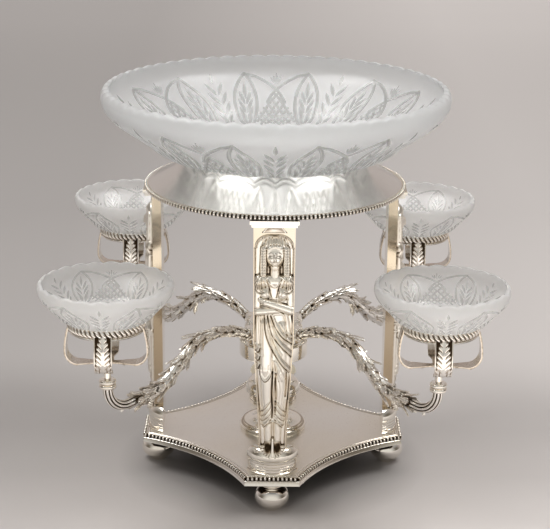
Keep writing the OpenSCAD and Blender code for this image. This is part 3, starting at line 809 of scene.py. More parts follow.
def soft_max(a, b, blend):
    """The larger of two heights, with a rounded join."""
    h = np.clip(0.5 + 0.5 * (a - b) / blend, 0, 1)
    return b + (a - b) * h + blend * h * (1 - h)


def dome(x, z, at, half, height):
    """Height of a half ellipsoid over its place, and a fall below the ground outside it."""
    q = 1 - ((x - at[0]) / half[0]) ** 2 - ((z - at[1]) / half[1]) ** 2
    return np.where(q > 0, height * np.sqrt(np.maximum(q, 0)), np.maximum(2 * height * q, -8))


def limb(x, z, a, b):
    """Height of a rounded limb between two places, each (x, z, thickness, lift of its middle)."""
    dx, dz = b[0] - a[0], b[1] - a[1]
    t = np.clip(((x - a[0]) * dx + (z - a[1]) * dz) / (dx * dx + dz * dz), 0, 1)
    away = np.hypot(x - a[0] - t * dx, z - a[1] - t * dz)
    thick = a[2] + t * (b[2] - a[2])
    q = 1 - (away / thick) ** 2
    lift = a[3] + t * (b[3] - a[3])
    return lift + np.where(q > 0, thick * np.sqrt(np.maximum(q, 0)), np.maximum(3 * thick * q, -9))


def away_from(x, z, run):
    """Distance of each place from a run of places."""
    near = np.full(x.shape, 1e3)
    for a, b in zip(run[:-1], run[1:]):
        dx, dz = b[0] - a[0], b[1] - a[1]
        t = np.clip(((x - a[0]) * dx + (z - a[1]) * dz) / (dx * dx + dz * dz + 1e-9), 0, 1)
        near = np.minimum(near, np.hypot(x - a[0] - t * dx, z - a[1] - t * dz))
    return near


def smooth_run(points, steps=6):
    """Places on a smooth curve through a few points."""
    p = np.asarray(points, float)
    p = np.concatenate([2 * p[:1] - p[1:2], p, 2 * p[-1:] - p[-2:-1]])
    t = np.linspace(0, 1, steps, endpoint=False)[:, None]
    parts = []
    for a, b, c, d in zip(p[:-3], p[1:-2], p[2:-1], p[3:]):
        parts.append(b + 0.5 * t * (c - a + t * (2 * a - 5 * b + 4 * c - d + t * (3 * (b - c) + d - a))))
    return np.concatenate([*parts, p[-2:-1]])


def fold(x, z, run, width, height):
    """A fold, or a groove if its height is below zero, along a smooth run of places."""
    line = smooth_run(run)
    margin = 3 * width
    near = (z > line[:, 1].min() - margin) & (z < line[:, 1].max() + margin)
    near &= (x > line[:, 0].min() - margin) & (x < line[:, 0].max() + margin)
    raised = np.zeros_like(x)
    raised[near] = height * np.exp(-((away_from(x[near], z[near], line) / width) ** 2))
    return raised


def mirrored(run, s):
    """The same run, or its mirror image if s is -1."""
    return [(s * a, b) for a, b in run]


def bump_at(x, z, at, spread_by, height):
    """A small soft swelling or hollow."""
    return height * np.exp(-(((x - at[0]) / spread_by[0]) ** 2) - ((z - at[1]) / spread_by[1]) ** 2)


def head_and_dress(x, z, h):
    """Head with a pleated head-dress whose lappets fall to the shoulders; the face is a plain calm one."""
    mid = HEAD_X
    # head-dress and lappets, with their pleats
    h = soft_max(h, dome(x, z, (mid, 253.6), (12.4, 14.6), 6.6), 0.6)
    for s in (-1, 1):
        lappet = limb(x, z, (mid + s * 9.8, 257, 3.1, 2.4), (mid + s * 10.6, 233.5, 3.1, 2.8))
        h = soft_max(h, lappet, 0.4)
    over = rising(z, 260.0, 1.0) * falling(z, 268.4, 1.5)
    off = np.abs(x - mid)
    h = h + 0.5 * np.cos(math.tau * (x - mid) / (2.2 + 0.1 * (266 - z))) * over * (off < 12)
    side = rising(off, 7.6, 0.5) * falling(off, 13.6, 0.5)
    side *= falling(z, 261, 2) * rising(z, 231.5, 1)
    h = h + side * (0.35 * np.cos(math.tau * (x - mid) / 2.1) + 0.2 * np.cos(math.tau * z / 2.6))
    # neck, and the face's round with the line along its sides
    h = soft_max(h, limb(x, z, (mid, 243, 4.2, 1.0), (mid, 229, 4.8, 1.4)), 0.8)
    h = soft_max(h, dome(x, z, (mid, 249.6), (7.8, 10.8), 8.6), 0.35)
    for s in (-1, 1):
        run = [(mid + s * 7.7, 258), (mid + s * 8.0, 250), (mid + s * 6.8, 243.0), (mid + s * 4.8, 238.8)]
        h += fold(x, z, run, 0.7, -1.1)
    # band over the brow
    h += fold(x, z, [(mid - 8.0, 257.2), (mid, 260.0), (mid + 8.0, 257.2)], 0.75, 0.9)
    h += fold(x, z, [(mid - 8.6, 259.2), (mid, 262.0), (mid + 8.6, 259.2)], 0.5, -0.5)
    h += bump_at(x, z, (mid, 262.4), (1.5, 2.0), 1.0)
    # eyes, brows, cheeks and nostrils, then nose, lips and chin
    for s in (-1, 1):
        h += bump_at(x, z, (mid + s * 3.1, 251.4), (2.1, 1.3), -0.95)
        h += bump_at(x, z, (mid + s * 3.1, 251.2), (1.3, 0.65), 0.75)
        h += fold(x, z, [(mid + s * 1.2, 253.4), (mid + s * 3.1, 254.4), (mid + s * 5.4, 253.1)], 0.5, 0.4)
        h += bump_at(x, z, (mid + s * 4.3, 246.6), (1.9, 2.0), 0.35)
        h += bump_at(x, z, (mid + s * 1.0, 246.4), (0.7, 0.6), 0.35)
    h += fold(x, z, [(mid, 253.2), (mid, 250), (mid, 247.0)], 0.95, 1.2)
    h += bump_at(x, z, (mid, 246.7), (1.0, 0.9), 0.5)
    h += bump_at(x, z, (mid, 243.9), (1.9, 0.55), 0.5) + bump_at(x, z, (mid, 242.6), (1.6, 0.6), 0.5)
    h += bump_at(x, z, (mid, 243.25), (2.0, 0.22), -0.45)
    return h + bump_at(x, z, (mid, 240.6), (1.7, 1.0), 0.5)


def torso_and_arms(x, z, h):
    """Shoulders with pleated short sleeves, bust under a crossed bodice, and folded arms."""
    # shoulders and trunk
    h = soft_max(h, limb(x, z, (-11.0, 226.5, 6.2, 0.6), (11.8, 226.5, 6.2, 0.6)), 1.4)
    trunk = 5.2 * np.sqrt(np.clip(1 - (x / 15.2) ** 2, 0, 1))
    trunk = trunk * falling(z, 230, 5) * rising(z, 192, 3)
    h = soft_max(h, trunk, 1.2)
    # upper arms, bust, pleats of the sleeves and edges of the bodice
    for s in (-1, 1):
        h = soft_max(h, limb(x, z, (s * 14.4, 222, 3.8, 1.4), (s * 15.0, 203, 3.6, 1.8)), 0.7)
        h = soft_max(h, dome(x, z, (s * 7.6, 215.4), (6.4, 7.0), 8.2), 0.9)
        h = soft_max(h, dome(x, z, (s * 13.6, 225.4), (5.2, 7.6), 7.0), 0.8)
        for k in range(5):
            top = (s * (10.4 + 0.8 * k), 231.8 - 0.5 * k)
            low = (s * (9.8 + 2.0 * k), 218.6 + (0.0, 0.4, 0.8, 1.2, 2.0)[k])
            mid = (0.5 * (top[0] + low[0]) + s * 0.4, 225.6)
            h += fold(x, z, [top, mid, low], 0.65, 0.7)
            h += fold(x, z, [(a + s * 1.0, b) for a, b in (top, mid, low)], 0.42, -0.75)
        h += fold(x, z, mirrored([(9.2, 217.4), (13.2, 215.8), (18.0, 219.4)], s), 0.55, -1.0)
        for k in range(3):
            run = [(6.6 + 1.6 * k, 231.5), (4.2 + 1.2 * k, 223), (1.8 + 0.7 * k, 211.5 - 2 * k)]
            h += fold(x, z, mirrored(run, s), 0.6, 0.6)
        h += fold(x, z, mirrored([(6.6, 229), (4.6, 222), (2.2, 212)], s), 0.7, -1.3)
        h += fold(x, z, mirrored([(9.4, 228), (8.0, 222), (6.2, 213)], s), 0.45, -0.6)
        h += fold(x, z, mirrored([(2.6, 209.8), (7.2, 208.0), (12.4, 209.8)], s), 0.7, -0.8)
    h += fold(x, z, [(-7.0, 229.5), (0.6, 221.5), (8.0, 229.5)], 0.7, 0.7)
    # folded arms, and the fingers of the upper hand
    low = limb(x, z, (-14.6, 197.6, 4.3, 2.2), (4.0, 199.6, 3.3, 3.6))
    high = limb(x, z, (16.0, 198.8, 4.4, 3.0), (-7.4, 207.2, 3.3, 6.0))
    hand = limb(x, z, (-7.2, 207.2, 3.1, 6.0), (-12.4, 209.6, 2.2, 5.0))
    h = soft_max(h, low, 0.4)
    h = soft_max(h, soft_max(high, hand, 0.8), 0.35)
    h += fold(x, z, [(-12.0, 203.2), (-5, 203.0), (2, 200.6), (9, 195.8)], 0.5, -1.0)
    h += fold(x, z, [(-6, 211.6), (3, 208.6), (12, 204.8)], 0.55, -0.8)
    for k in range(3):
        finger = [(-9.2, 210.2 - 1.5 * k), (-11.2, 210.7 - 1.5 * k), (-13.4, 210.8 - 1.45 * k)]
        h += fold(x, z, finger, 0.26, -0.55)
    return h


# Edges of the cloth that is drawn across the skirt
SLANTS = (
    [(-8.6, 194), (-7.4, 178), (-2.2, 163), (3.4, 152.8), (13.8, 138.5)],
    [(-6.0, 194), (-3.0, 181), (-0.2, 173), (8.4, 162.5), (16.1, 153.5)],
    [(-3.0, 194), (1.4, 183), (7.4, 174), (15.2, 167), (18.0, 164.6)],
)

# Legs under the skirt, as the two ends of each limb
SKIRT_LEGS = (
    ((-6.4, 186, 6.6, 0.6), (-6.4, 142, 6.2, 2.6)),
    ((-6.4, 142, 6.2, 2.6), (-5.0, 97, 4.6, 1.6)),
    ((7.0, 184, 6.4, 0.2), (6.6, 140, 5.6, 1.6)),
    ((6.6, 140, 5.6, 1.6), (5.2, 97, 4.4, 1.6)),
)

# Single folds of the skirt: run, width and height
SKIRT_FOLDS = (
    ([(3.2, 150), (7.0, 143), (11.4, 132)], 0.5, -0.7),
    ([(1.6, 150), (4.8, 141), (8.2, 132)], 0.7, 0.8),
    ([(0.9, 147), (2.8, 138), (5.0, 131)], 0.45, -0.6),
    ([(-12.0, 143), (-11.2, 136.5), (-7.6, 132.4), (-3.6, 136.5), (-1.6, 143)], 0.85, 1.3),
    ([(-12.6, 140), (-11.6, 134.6), (-7.6, 130.6), (-3.2, 134.4), (-1.2, 139)], 0.45, -1.2),
    ([(-10.4, 146), (-9.8, 139.5), (-7.6, 136.5), (-5.2, 139.5), (-4.2, 147)], 0.5, -0.5),
    ([(-0.6, 140), (-1.0, 130), (-1.5, 118), (-0.6, 104), (-0.8, 94)], 0.6, -1.7),
    ([(0.8, 150), (0.6, 125), (1.0, 97)], 0.8, 1.2),
    ([(2.6, 138), (2.2, 128), (2.9, 116), (2.0, 100)], 0.7, -1.5),
    ([(5.0, 131), (6.4, 121), (5.4, 110)], 0.6, -0.7),
    ([(12.0, 139), (12.0, 128), (11.2, 115)], 0.7, -1.5),
    ([(13.6, 134), (13.4, 124), (12.4, 112)], 0.6, 1.0),
    ([(9.9, 130), (9.4, 120), (8.4, 108)], 0.5, -0.6),
    ([(-9.6, 130), (-9.2, 118), (-8.0, 106)], 0.6, -0.5),
)


def draped_skirt(x, z, h):
    """Long skirt with a cloth drawn across it, a fallen end at one side and pleats between the legs."""
    level = [83, 92, 104, 120, 140, 160, 178, 190, 196]
    half = np.interp(z, level, [9.8, 10.8, 12.2, 14.0, 16.2, 17.4, 17.3, 16.4, 15.4])
    deep = np.interp(z, level, [3.4, 4.2, 4.4, 4.6, 4.8, 5.0, 5.0, 4.8, 4.6])
    body = deep * np.clip(1 - (np.abs(x) / half) ** 3.0, 0, 1) ** 0.5
    hem = 83.5 + 6.0 * np.clip(1 - (x / 8.2) ** 2, 0, 1)
    on = rising(z, hem, 0.8) * falling(z, 197.0, 1.5)
    h = soft_max(h, np.where(on > 0, body * on, -5), 0.4)
    for a, b in SKIRT_LEGS:
        h = soft_max(h, np.where(on > 0.5, limb(x, z, a, b), -5), 1.0)
    cut = np.zeros_like(h)
    # cloth drawn across
    for run in SLANTS:
        cut += fold(x, z, run, 0.5, -1.35)
        cut += fold(x, z, [(a + 1.5, b + 1.6) for a, b in run], 0.9, 1.3)
        cut += fold(x, z, [(a + 3.1, b + 3.0) for a, b in run[1:]], 0.42, -0.6)
        cut += fold(x, z, [(a + 4.3, b + 4.4) for a, b in run[1:-1]], 0.7, 0.7)
    # gathers below the waist
    for k in range(5):
        top, low = 8.2 + 1.7 * k, 10.4 + 1.9 * k
        run = [(top, 194.5), (0.5 * (top + low) + 0.3, 184), (low, 172.5 + 0.8 * k)]
        cut += fold(x, z, run, 0.5, -0.8 if k % 2 else 0.7)
    for k in range(3):
        groove = [(-13.6 + 1.9 * k, 194), (-13.8 + 1.9 * k, 180), (-13.2 + 1.7 * k, 166 - 5 * k)]
        ridge = [(-12.7 + 1.9 * k, 194), (-12.8 + 1.9 * k, 180), (-12.3 + 1.7 * k, 168 - 5 * k)]
        cut += fold(x, z, groove, 0.45, -0.55) + fold(x, z, ridge, 0.6, 0.5)
    # fallen end at one side
    for low in (158.5, 150.5, 142.5):
        cut += fold(x, z, [(-16.6, low + 8), (-13.0, low + 5), (-15.8, low)], 0.9, 1.3)
        cut += fold(x, z, [(-17.0, low + 2.0), (-13.6, low - 0.2), (-12.2, low + 4.5)], 0.5, -1.1)
    for run, width, height in SKIRT_FOLDS:
        cut += fold(x, z, run, width, height)
    # curved folds over the shins
    for s in (-1, 1):
        for k in range(4):
            start, end = (2.4 - 0.2 * k, 110.5 - 6.2 * k), (11.6 - 0.6 * k, 98.5 - 4.4 * k)
            bend = (0.55 * (start[0] + end[0]), 0.5 * (start[1] + end[1]) - 1.6)
            cut += fold(x, z, mirrored([start, bend, end], s), 0.5, -0.85)
            cut += fold(x, z, mirrored([(a, b + 2.0) for a, b in (start, bend, end)], s), 0.75, 0.8)
    h += cut * on
    edge = [(-8.4, 84.6), (-5.0, 88.8), (0, 90.6), (5.0, 88.8), (8.4, 84.6)]
    return h + fold(x, z, edge, 0.8, 1.3) * on - fold(x, z, [(a, b - 1.6) for a, b in edge], 0.7, 1.0)


def legs_and_feet(x, z, h):
    """Ankles below the hem, and bare feet that turn out on the socle with their toes in a fan."""
    for s in (-1, 1):
        h = soft_max(h, limb(x, z, (s * 4.6, 90, 3.8, 0.2), (s * 4.2, 71, 3.3, 0.8)), 0.4)
        h = soft_max(h, limb(x, z, (s * 3.6, 69.0, 3.2, 1.8), (s * 5.2, 61.0, 4.3, 3.6)), 0.6)
        for k in range(6):
            turn = (14 + 15 * k) * DEG
            root = (s * 6.0 * math.sin(turn), 64.8 - 6.0 * math.cos(turn))
            tip = (s * 10.2 * math.sin(turn), 64.8 - 9.8 * math.cos(turn))
            low = math.cos(turn)
            h = soft_max(h, limb(x, z, (*root, 0.9, 4.6 + 2.0 * low), (*tip, 1.1, 4.2 + 3.4 * low)), 0.15)
    h = soft_max(h, limb(x, z, (0, 72, 0.9, 4.6), (0, 57.0, 1.6, 7.2)), 0.2)
    return h + fold(x, z, [(0, 88), (0, 80), (0, 72.5)], 0.5, -1.2)


def panel_half(z):
    """Half width of the figure's arched panel at each height; the feet hang below it."""
    heights, halves = [SLAB_Z, SLAB_MID_Z, SLAB_TOP_Z], [SLAB_LOW_HALF, SLAB_MID_HALF, SLAB_TOP_HALF]
    slab = np.interp(z, heights, halves) - 0.45
    rise = np.clip(1 - (np.maximum(z - ARCH_Z, 0) / ARCH_RISE) ** ARCH_POWER, 0.0008, 1)
    arch = ARCH_HALF * rise ** (1 / ARCH_POWER)
    feet = 12.4 * np.sqrt(np.clip(1 - ((SLAB_Z - z) / 9.2) ** 2, 0.01, 1))
    return np.where(z > ARCH_Z, np.minimum(arch, slab), np.where(z < SLAB_Z, np.minimum(feet, slab), slab))


def panel_edge(x, z):
    """Distance of each place in from the panel's side or arch."""
    up = np.maximum(z - ARCH_Z, 0) / ARCH_RISE
    arch = ((np.abs(x) / ARCH_HALF) ** ARCH_POWER + up**ARCH_POWER) ** (1 / ARCH_POWER)
    return np.where(z > ARCH_Z, (1 - arch) * 14.5, panel_half(z) - np.abs(x))


def blank_tablet(casting):
    """Small blank tablet with slanted ends between the arch and the capital."""
    low, high = 271.3, 276.4
    ends = low + 1.6
    plan = np.array([(-11.4, low), (11.4, low), (10.6, ends), (7.4, high), (-7.4, high), (-10.6, ends)])
    middle = plan.mean(axis=0)
    rings = []
    for grow, rise in ((1.0, -0.4), (1.0, 0.7), (0.93, 1.3), (0.86, 1.3), (0.80, 0.9), (0.02, 0.9)):
        ring = middle + (plan - middle) * grow
        rings.append(np.column_stack([ring[:, 0], np.full(len(ring), -SLAB_FACE - rise), ring[:, 1]]))
    casting.shell(rings, np.array([1, 0.75, 0, 0, 0.5, 0.1])[:, None])


def blurred(h, times):
    """Height smoothed over its neighbours."""
    for _ in range(times):
        p = np.pad(h, 1, mode="edge")
        h = (p[1:-1, 1:-1] * 2 + p[:-2, 1:-1] + p[2:, 1:-1] + p[1:-1, :-2] + p[1:-1, 2:]) / 6
    return h


def draped_figure():
    """A draped woman in high relief on an arched panel, made for the front column."""
    rows, across = 620, 119
    level = np.linspace(PANEL_LOW, PANEL_HIGH, rows)
    share = np.linspace(-1, 1, across)
    z = np.repeat(level[:, None], across, axis=1)
    half = panel_half(level)[:, None]
    x = share[None, :] * half
    inside = panel_edge(x, z)
    rim = 1.5 * hump(inside, 0.55, 0.5) - 0.35 * hump(inside, 1.7, 0.55)
    h = 0.75 + np.where(z > RIM_FROM, rim, 0)
    h = legs_and_feet(x, z, h)
    h = draped_skirt(x, z, h)
    h = torso_and_arms(x, z, h)
    h = head_and_dress(x, z, h)
    h = np.maximum(h, 0.25) * sizes().relief
    # oxide in the small hollows; painted shade over wide low areas and a painted shadow just inside the panel's
    # rim
    dark = np.clip(1.7 * (blurred(h, 8) - h) - 0.06, 0, 0.9)
    dark += np.clip(0.22 * (blurred(h, 70) - h) - 0.22, 0, 0.3)
    dark += 0.35 * hump(inside, 1.7, 0.5) * (z > RIM_FROM)
    # painted shade beside the neck, round the feet, in the bodice, under the chin and between the legs, with a
    # painted highlight down between the feet
    for s in (-1, 1):
        dark += bump_at(x, z, (HEAD_X + s * 5.0, 236.5), (1.8, 3.4), 0.55)
        dark += bump_at(x, z, (s * 4.4, 64.8), (3.0, 4.4), 1.7)
        dark += bump_at(x, z, (s * 3.4, 218.0), (1.6, 4.5), 0.35)
    dark -= bump_at(x, z, (0.0, 64.0), (1.0, 9.0), 1.5)
    dark += bump_at(x, z, (HEAD_X, 238.0), (3.4, 1.4), 0.4)
    dark += bump_at(x, z, (0.8, 116.0), (2.6, 16.0), 0.3)
    h[:, 0] = h[:, -1] = -0.3
    rings = np.zeros((rows, across + 2, 3))
    rings[:, :across, 0] = x
    rings[:, :across, 1] = -SLAB_FACE - h
    rings[:, across, 0] = half[:, 0]
    rings[:, across + 1, 0] = -half[:, 0]
    rings[:, across:, 1] = -SLAB_FACE + 0.6
    rings[:, :, 2] = level[:, None]
    values = np.concatenate([dark, np.ones((rows, 2))], axis=1)
    casting = Casting()
    casting.shell(rings, values)
    blank_tablet(casting)
    return casting.mesh("draped_figure", sharp=70)


def course_table():
    """Places and headings along a branch, every tenth of a millimetre."""
    counts = [max(2, round(length * 10)) for _, _, length in COURSE]
    heading = np.concatenate([np.linspace(a, b, n) for (a, b, _), n in zip(COURSE, counts)]) * DEG
    step = np.concatenate([np.full(n, length / n) for (_, _, length), n in zip(COURSE, counts)])
    s = ROOT[0] + np.cumsum(np.cos(heading) * step)
    z = ROOT[1] + np.cumsum(np.sin(heading) * step)
    return np.cumsum(step), s, z, heading


TABLE = course_table()


def on_branch(far, turn, away):
    """Points by distance along the branch, angle round it from its upper side, and distance from its middle."""
    far, turn, away = np.broadcast_arrays(far, turn, away)
    s, z, heading = (np.interp(far, TABLE[0], column) for column in TABLE[1:])
    up = away * np.cos(turn)
    return np.stack([s - np.sin(heading) * up, away * np.sin(turn), z + np.cos(heading) * up], axis=-1)


def acanthus_leaf(casting, start, turn, length, width, base, curl):
    """A toothed leaf that lies tight along the branch and bends its tip away from it."""
    u = np.linspace(0, 1, 48)[:, None]
    top = np.linspace(-1, 1, 15)
    v = np.concatenate([top, top[::-1]])[None, :]
    upper = np.concatenate([np.ones(len(top)), np.zeros(len(top))])[None, :]
    side = np.abs(v)
    tooth = (LEAF_LOBES * u + 0.25) % 1.0
    shape = np.interp(u, [0, 0.12, 0.4, 0.7, 0.9, 1], [0.62, 0.8, 1.0, 0.92, 0.74, 0.30])
    half = width / 2 * shape * (0.52 + 0.48 * tooth)
    lift = base + 1.2 * u + curl * rising(u, 0.4, 0.6) ** 1.6
    vein = np.cos(math.tau * (LEAF_LOBES * u + 0.1 - 0.75 * side))
    rib = 0.4 * hump(v, 0, 0.16) - 0.25 * np.clip(-vein, 0, 1) * np.clip(side * 4 - 0.5, 0, 1)
    thick = 1.3 * (1 - 0.35 * u) + 0.2
    cup = -0.85 * side**2 * (1 - 0.6 * u) + 0.9 * tooth * side**2
    away = lift + cup + upper * (thick + rib) * (1 - 0.85 * side**6)
    reach = start + length * (u - 0.07 * side**1.5 * (1 - u))
    angle = turn + v * half / np.maximum(away, base + 1.0)
    # oxide in the veins; painted shade along the leaf's edges and at its base; a light even value underneath
    groove = np.clip(-2.0 * vein - 0.9, 0, 1) * np.clip(side * 4 - 0.8, 0, 1)
    edge = rising(side, 0.77, 0.16) * (1 - 0.5 * u)
    values = np.where(upper > 0, np.maximum(0.35 * groove, edge) + np.clip(0.2 - u, 0, 1) / 0.2, 0.2)
    casting.shell(on_branch(reach, angle, away), values)


def leaf_sheath(casting, start, length, width, base, count, curls, shift=0.0):
    """A calyx of leaves round the branch; the curls of its leaves go round from the upper side."""
    for j in range(count):
        turn = math.tau * j / count + shift
        long = length * (1.0, 0.88, 0.95)[j % 3]
        acanthus_leaf(casting, start, turn, long, width, base, curls[j % len(curls)])


def foliate_branch():
    """Branch made along +X: square plug, root collar, ribbed stem, overlapping sheaths and single leaves."""
    casting = Casting()
    square = np.array([[-1, -1], [1, -1], [1, 1], [-1, 1]]) * 3.8
    plug = np.zeros((2, 4, 3))
    for k, s in enumerate((21.5, SOCKET_FACE + 0.5)):
        plug[k] = np.column_stack([np.full(4, s), square[:, 0], ROOT[1] + square[:, 1]])
    casting.shell(plug, 0.3)
    ring = whole_turn(40)
    collar = [(33.05, 6.0), (33.6, 6.3), (34.4, 6.2), (35.0, 5.2)]
    collar += [(35.8, 4.4), (36.8, 4.6), (37.6, 4.2), (38.0, 3.4)]
    rings = []
    for s, r in collar:
        rings.append(np.column_stack([np.full(len(ring), s), r * np.cos(ring), ROOT[1] + r * np.sin(ring)]))
    casting.shell(rings, np.array([0.2, 0, 0, 0.5, 0.6, 0.1, 0.1, 0.5])[:, None])
    far = np.linspace(0, ELBOW_FROM + 1.5, 170)[:, None]
    around = ring[None, :]
    ribs = np.cos(7 * around + 0.1 * far)
    thick = 3.1 + 0.3 * np.sin(far / 8) + 0.35 * ribs
    # painted shade: the stem is dark so the gaps between the leaves read dark
    casting.shell(on_branch(far, around, thick), 0.8 - 0.2 * ribs)
    curl = sizes().leaf_curl / MM
    leaf_sheath(casting, 0.5, 27, 8.6, 3.1, 4, (0.6, 1.1))
    leaf_sheath(casting, 18.0, 28, 9.0, 3.2, 4, (1.2, 0.8), 0.785)
    leaf_sheath(casting, 36.0, 30, 9.6, 3.4, 4, (0.3 * curl, 0.15 * curl))
    for turn, long, bent in ((0.0, 34, 1.1), (0.8, 29, 0.7), (-0.8, 30, 0.8), (2.7, 26, 0.5)):
        acanthus_leaf(casting, 45.0, turn, long, 9.0, 3.6, curl * bent)
    leaf_sheath(casting, 58.0, 27, 9.0, 3.4, 4, (0.12 * curl, 0.2 * curl), 0.785)
    leaf_sheath(casting, 74.0, 27, 9.2, 3.5, 4, (0.35 * curl, 0.15 * curl, 0.25 * curl))
    for start, turn, long, bent in ((76, 0.3, 29, 0.8), (80, -0.6, 25, 0.5), (70, math.pi, 25, 0.8)):
        acanthus_leaf(casting, start, turn, long, 8.4, 3.6, curl * bent)
    leaf_sheath(casting, 92.0, 29, 10.4, 3.9, 5, (0.15 * curl, 0.35 * curl, 0.25 * curl), 0.5)
    leaf_sheath(casting, 107.0, 30, 11.0, 4.4, 5, [share * curl for share in (0.5, 0.2, 0.4, 0.6, 0.3)])
    leaf_sheath(casting, 122.0, 28, 10.6, 4.2, 5, (0.25 * curl, 0.15 * curl), 0.6)
    leaf_sheath(casting, 135.0, 28, 10.4, 4.3, 5, [share * curl for share in (0.5, 0.2, 0.35, 0.6, 0.3)], 0.2)
    return casting.mesh("foliate_branch", sharp=65)


def reeded_elbow():
    """Reeded elbow made along +X, with a small drop below its start."""
    casting = Casting()
    reeds = sizes().reeds
    far = np.linspace(ELBOW_FROM - 6, ELBOW_TO, 70)[:, None]
    around = whole_turn(14 * reeds)[None, :]
    crest = np.abs(np.cos(reeds / 2 * around))
    hollows = np.clip(2.0 - 2.6 * crest, 0, 1) * np.ones_like(far)
    casting.shell(on_branch(far, around, 3.3 + 1.45 * crest**0.6), hollows)
    for away, half, shade_and_oxide in ((5.2, (1.6, 1.6, 2.0), 0.0), (3.8, (2.2, 2.2, 1.0), 0.2)):
        drop = on_branch(ELBOW_FROM + 7, math.pi, away)
        casting.shell(bead(drop, (1, 0, 0), (0, 1, 0), half)[0], shade_and_oxide)
    return casting.mesh("reeded_elbow", sharp=60)


def strap_line():
    """Middle line of a strap, (out from the post, height), from the boss out and up to the ring."""
    flat = np.column_stack([np.linspace(5.0, 24.5, 16), np.full(16, BOSS_Z + 0.8)])
    bend = np.linspace(-90, 0, 18)[1:] * DEG
    curve = np.column_stack([24.5 + 12.2 * np.cos(bend), BOSS_Z + 13.0 + 12.2 * np.sin(bend)])
    rise = bezier((36.7, BOSS_Z + 13), (36.8, BOSS_Z + 20), (35.8, BOSS_Z + 27), (33.2, RING_Z + 3.0), 22)[1:]
    return even_run(np.concatenate([flat, curve, rise]), 120)


def leaf_strap(casting, turn):
    """One bent strap: plain inside, with an acanthus leaf between narrow borders on its outer face."""
    line = strap_line()
    along = unit(np.gradient(line, axis=0))
    outer = np.column_stack([along[:, 1], -along[:, 0]])
    u = np.linspace(0, 1, len(line))[:, None]
    front, back = 41, 7
    v = np.concatenate([np.linspace(-1, 1, front), np.linspace(1, -1, back)])[None, :]
    face = np.concatenate([np.ones(front), np.zeros(back)])[None, :]
    half = np.interp(u, [0, 0.06, 0.34, 1], [3.2, 3.3, 7.8, 8.0])
    side = np.abs(v)
    border = rising(side, 0.87, 0.04) * rising(u, 0.30, 0.04)
    carved = rising(u, 0.26, 0.03)
    edge = np.interp(u, [0.26, 0.36, 0.58, 0.75, 0.93, 1.0], [0.3, 0.84, 0.88, 0.8, 0.55, 0.3])
    lobe = 13 * (u - 0.13 * side)
    tooth = (lobe % 1.0) * 0.22
    within = np.clip((edge - side - 0.16 + tooth) / 0.06, 0, 1)
    vein = np.cos(math.tau * lobe)
    groove = np.clip(-1.6 * vein - 0.5, 0, 1) * np.clip(side * 7 - 0.8, 0, 1)
    groove = groove * np.interp(u, [0.4, 0.6, 0.75], [0.35, 0.6, 1.0])
    split = hump(side, 0.42, 0.05) * falling(u, 0.62, 0.1)
    rib = hump(v, 0, 0.06)
    relief = carved * (within * (0.6 - 0.4 * np.maximum(groove, split) + 0.45 * rib) + 0.5 * border)
    scroll = 1.5 * hump(u, 0.17, 0.04) * (0.6 + 0.4 * np.cos(3 * math.pi * v))
    round_off = 1 - side**10
    offset = np.where(face > 0, 0.55 + (relief + scroll) * np.where(border > 0.5, 1, round_off), -0.55)
    q = line[:, :1] + outer[:, :1] * offset
    z = line[:, 1:] + outer[:, 1:] * offset
    w = v * half * np.ones_like(q)
    c, s = math.cos(turn), math.sin(turn)
    rings = np.stack([REACH + c * q - s * w, s * q + c * w, z], axis=-1)
    ground = carved * (1 - within) * (1 - border) * np.interp(u, [0.3, 0.5, 0.62, 1.0], [0.5, 0.6, 1.0, 1.0])
    low_end = 0.75 * hump(u, 0.31, 0.035) * np.ones_like(ground)
    marked = np.maximum.reduce([ground, carved * within * 0.95 * groove, 0.9 * carved * split, low_end])
    # painted shade on the inner face, deeper on its low flat part
    plain = 0.34 + 0.12 * falling(u, 0.4, 0.3) * np.ones_like(ground)
    # painted shade on the strap's edges
    marked = np.where(side > 0.97, 0.6, marked)
    casting.shell(rings, np.where(face > 0, marked, plain))


def strap_cage():
    """Four leaf straps of one holder."""
    casting = Casting()
    for k in range(4):
        leaf_strap(casting, (45 + 90 * k) * DEG)
    return casting.mesh("leaf_straps", sharp=60)


def gadrooned_ring():
    """Ring of slanted lobes over a plain fillet, with a ledge inside for the glass."""
    casting = Casting()
    count = sizes().gadroons
    turn = whole_turn(count * 12)[:, None]
    bulge = np.linspace(0, 1, 15)
    low = RING_Z - 0.9
    section = [(RING_LEDGE, RING_Z + 0.1), (32.8, low), (RING_OUT + 0.4, low + 0.2)]
    section += [(RING_OUT + 0.8, low + 0.8), (RING_OUT + 0.4, low + 1.5), (RING_OUT - 0.7, low + 1.8)]
    first = len(section)
    section += [(RING_OUT - 0.4 + 1.5 * math.sin(math.pi * b), low + 1.9 + 7.4 * b) for b in bulge]
    section += [(RING_IN + 0.6, RING_Z + 8.4), (RING_IN, RING_Z + 8.0), (RING_IN, RING_Z + 1.3)]
    section = np.array(section + [(RING_LEDGE, RING_Z + 1.3)])
    lobed = np.zeros(len(section))
    lobed[first:first + len(bulge)] = np.sin(math.pi * bulge) ** 0.3
    wave = np.abs(np.sin(count / 2 * turn + 0.42 * (section[None, :, 1] - RING_Z)))
    r = section[None, :, 0] + lobed[None, :] * 2.3 * (wave**0.7 - 0.65)
    height = np.broadcast_to(section[:, 1], r.shape)
    rings = np.stack([REACH + r * np.cos(turn), r * np.sin(turn), height], axis=-1)
    dark = lobed[None, :] * np.clip(1.75 - 2.7 * wave, 0, 1)
    dark[:, first - 1] = 1.0
    casting.shell(rings, dark, loop=True)
    return casting.mesh("gadrooned_ring", sharp=60)


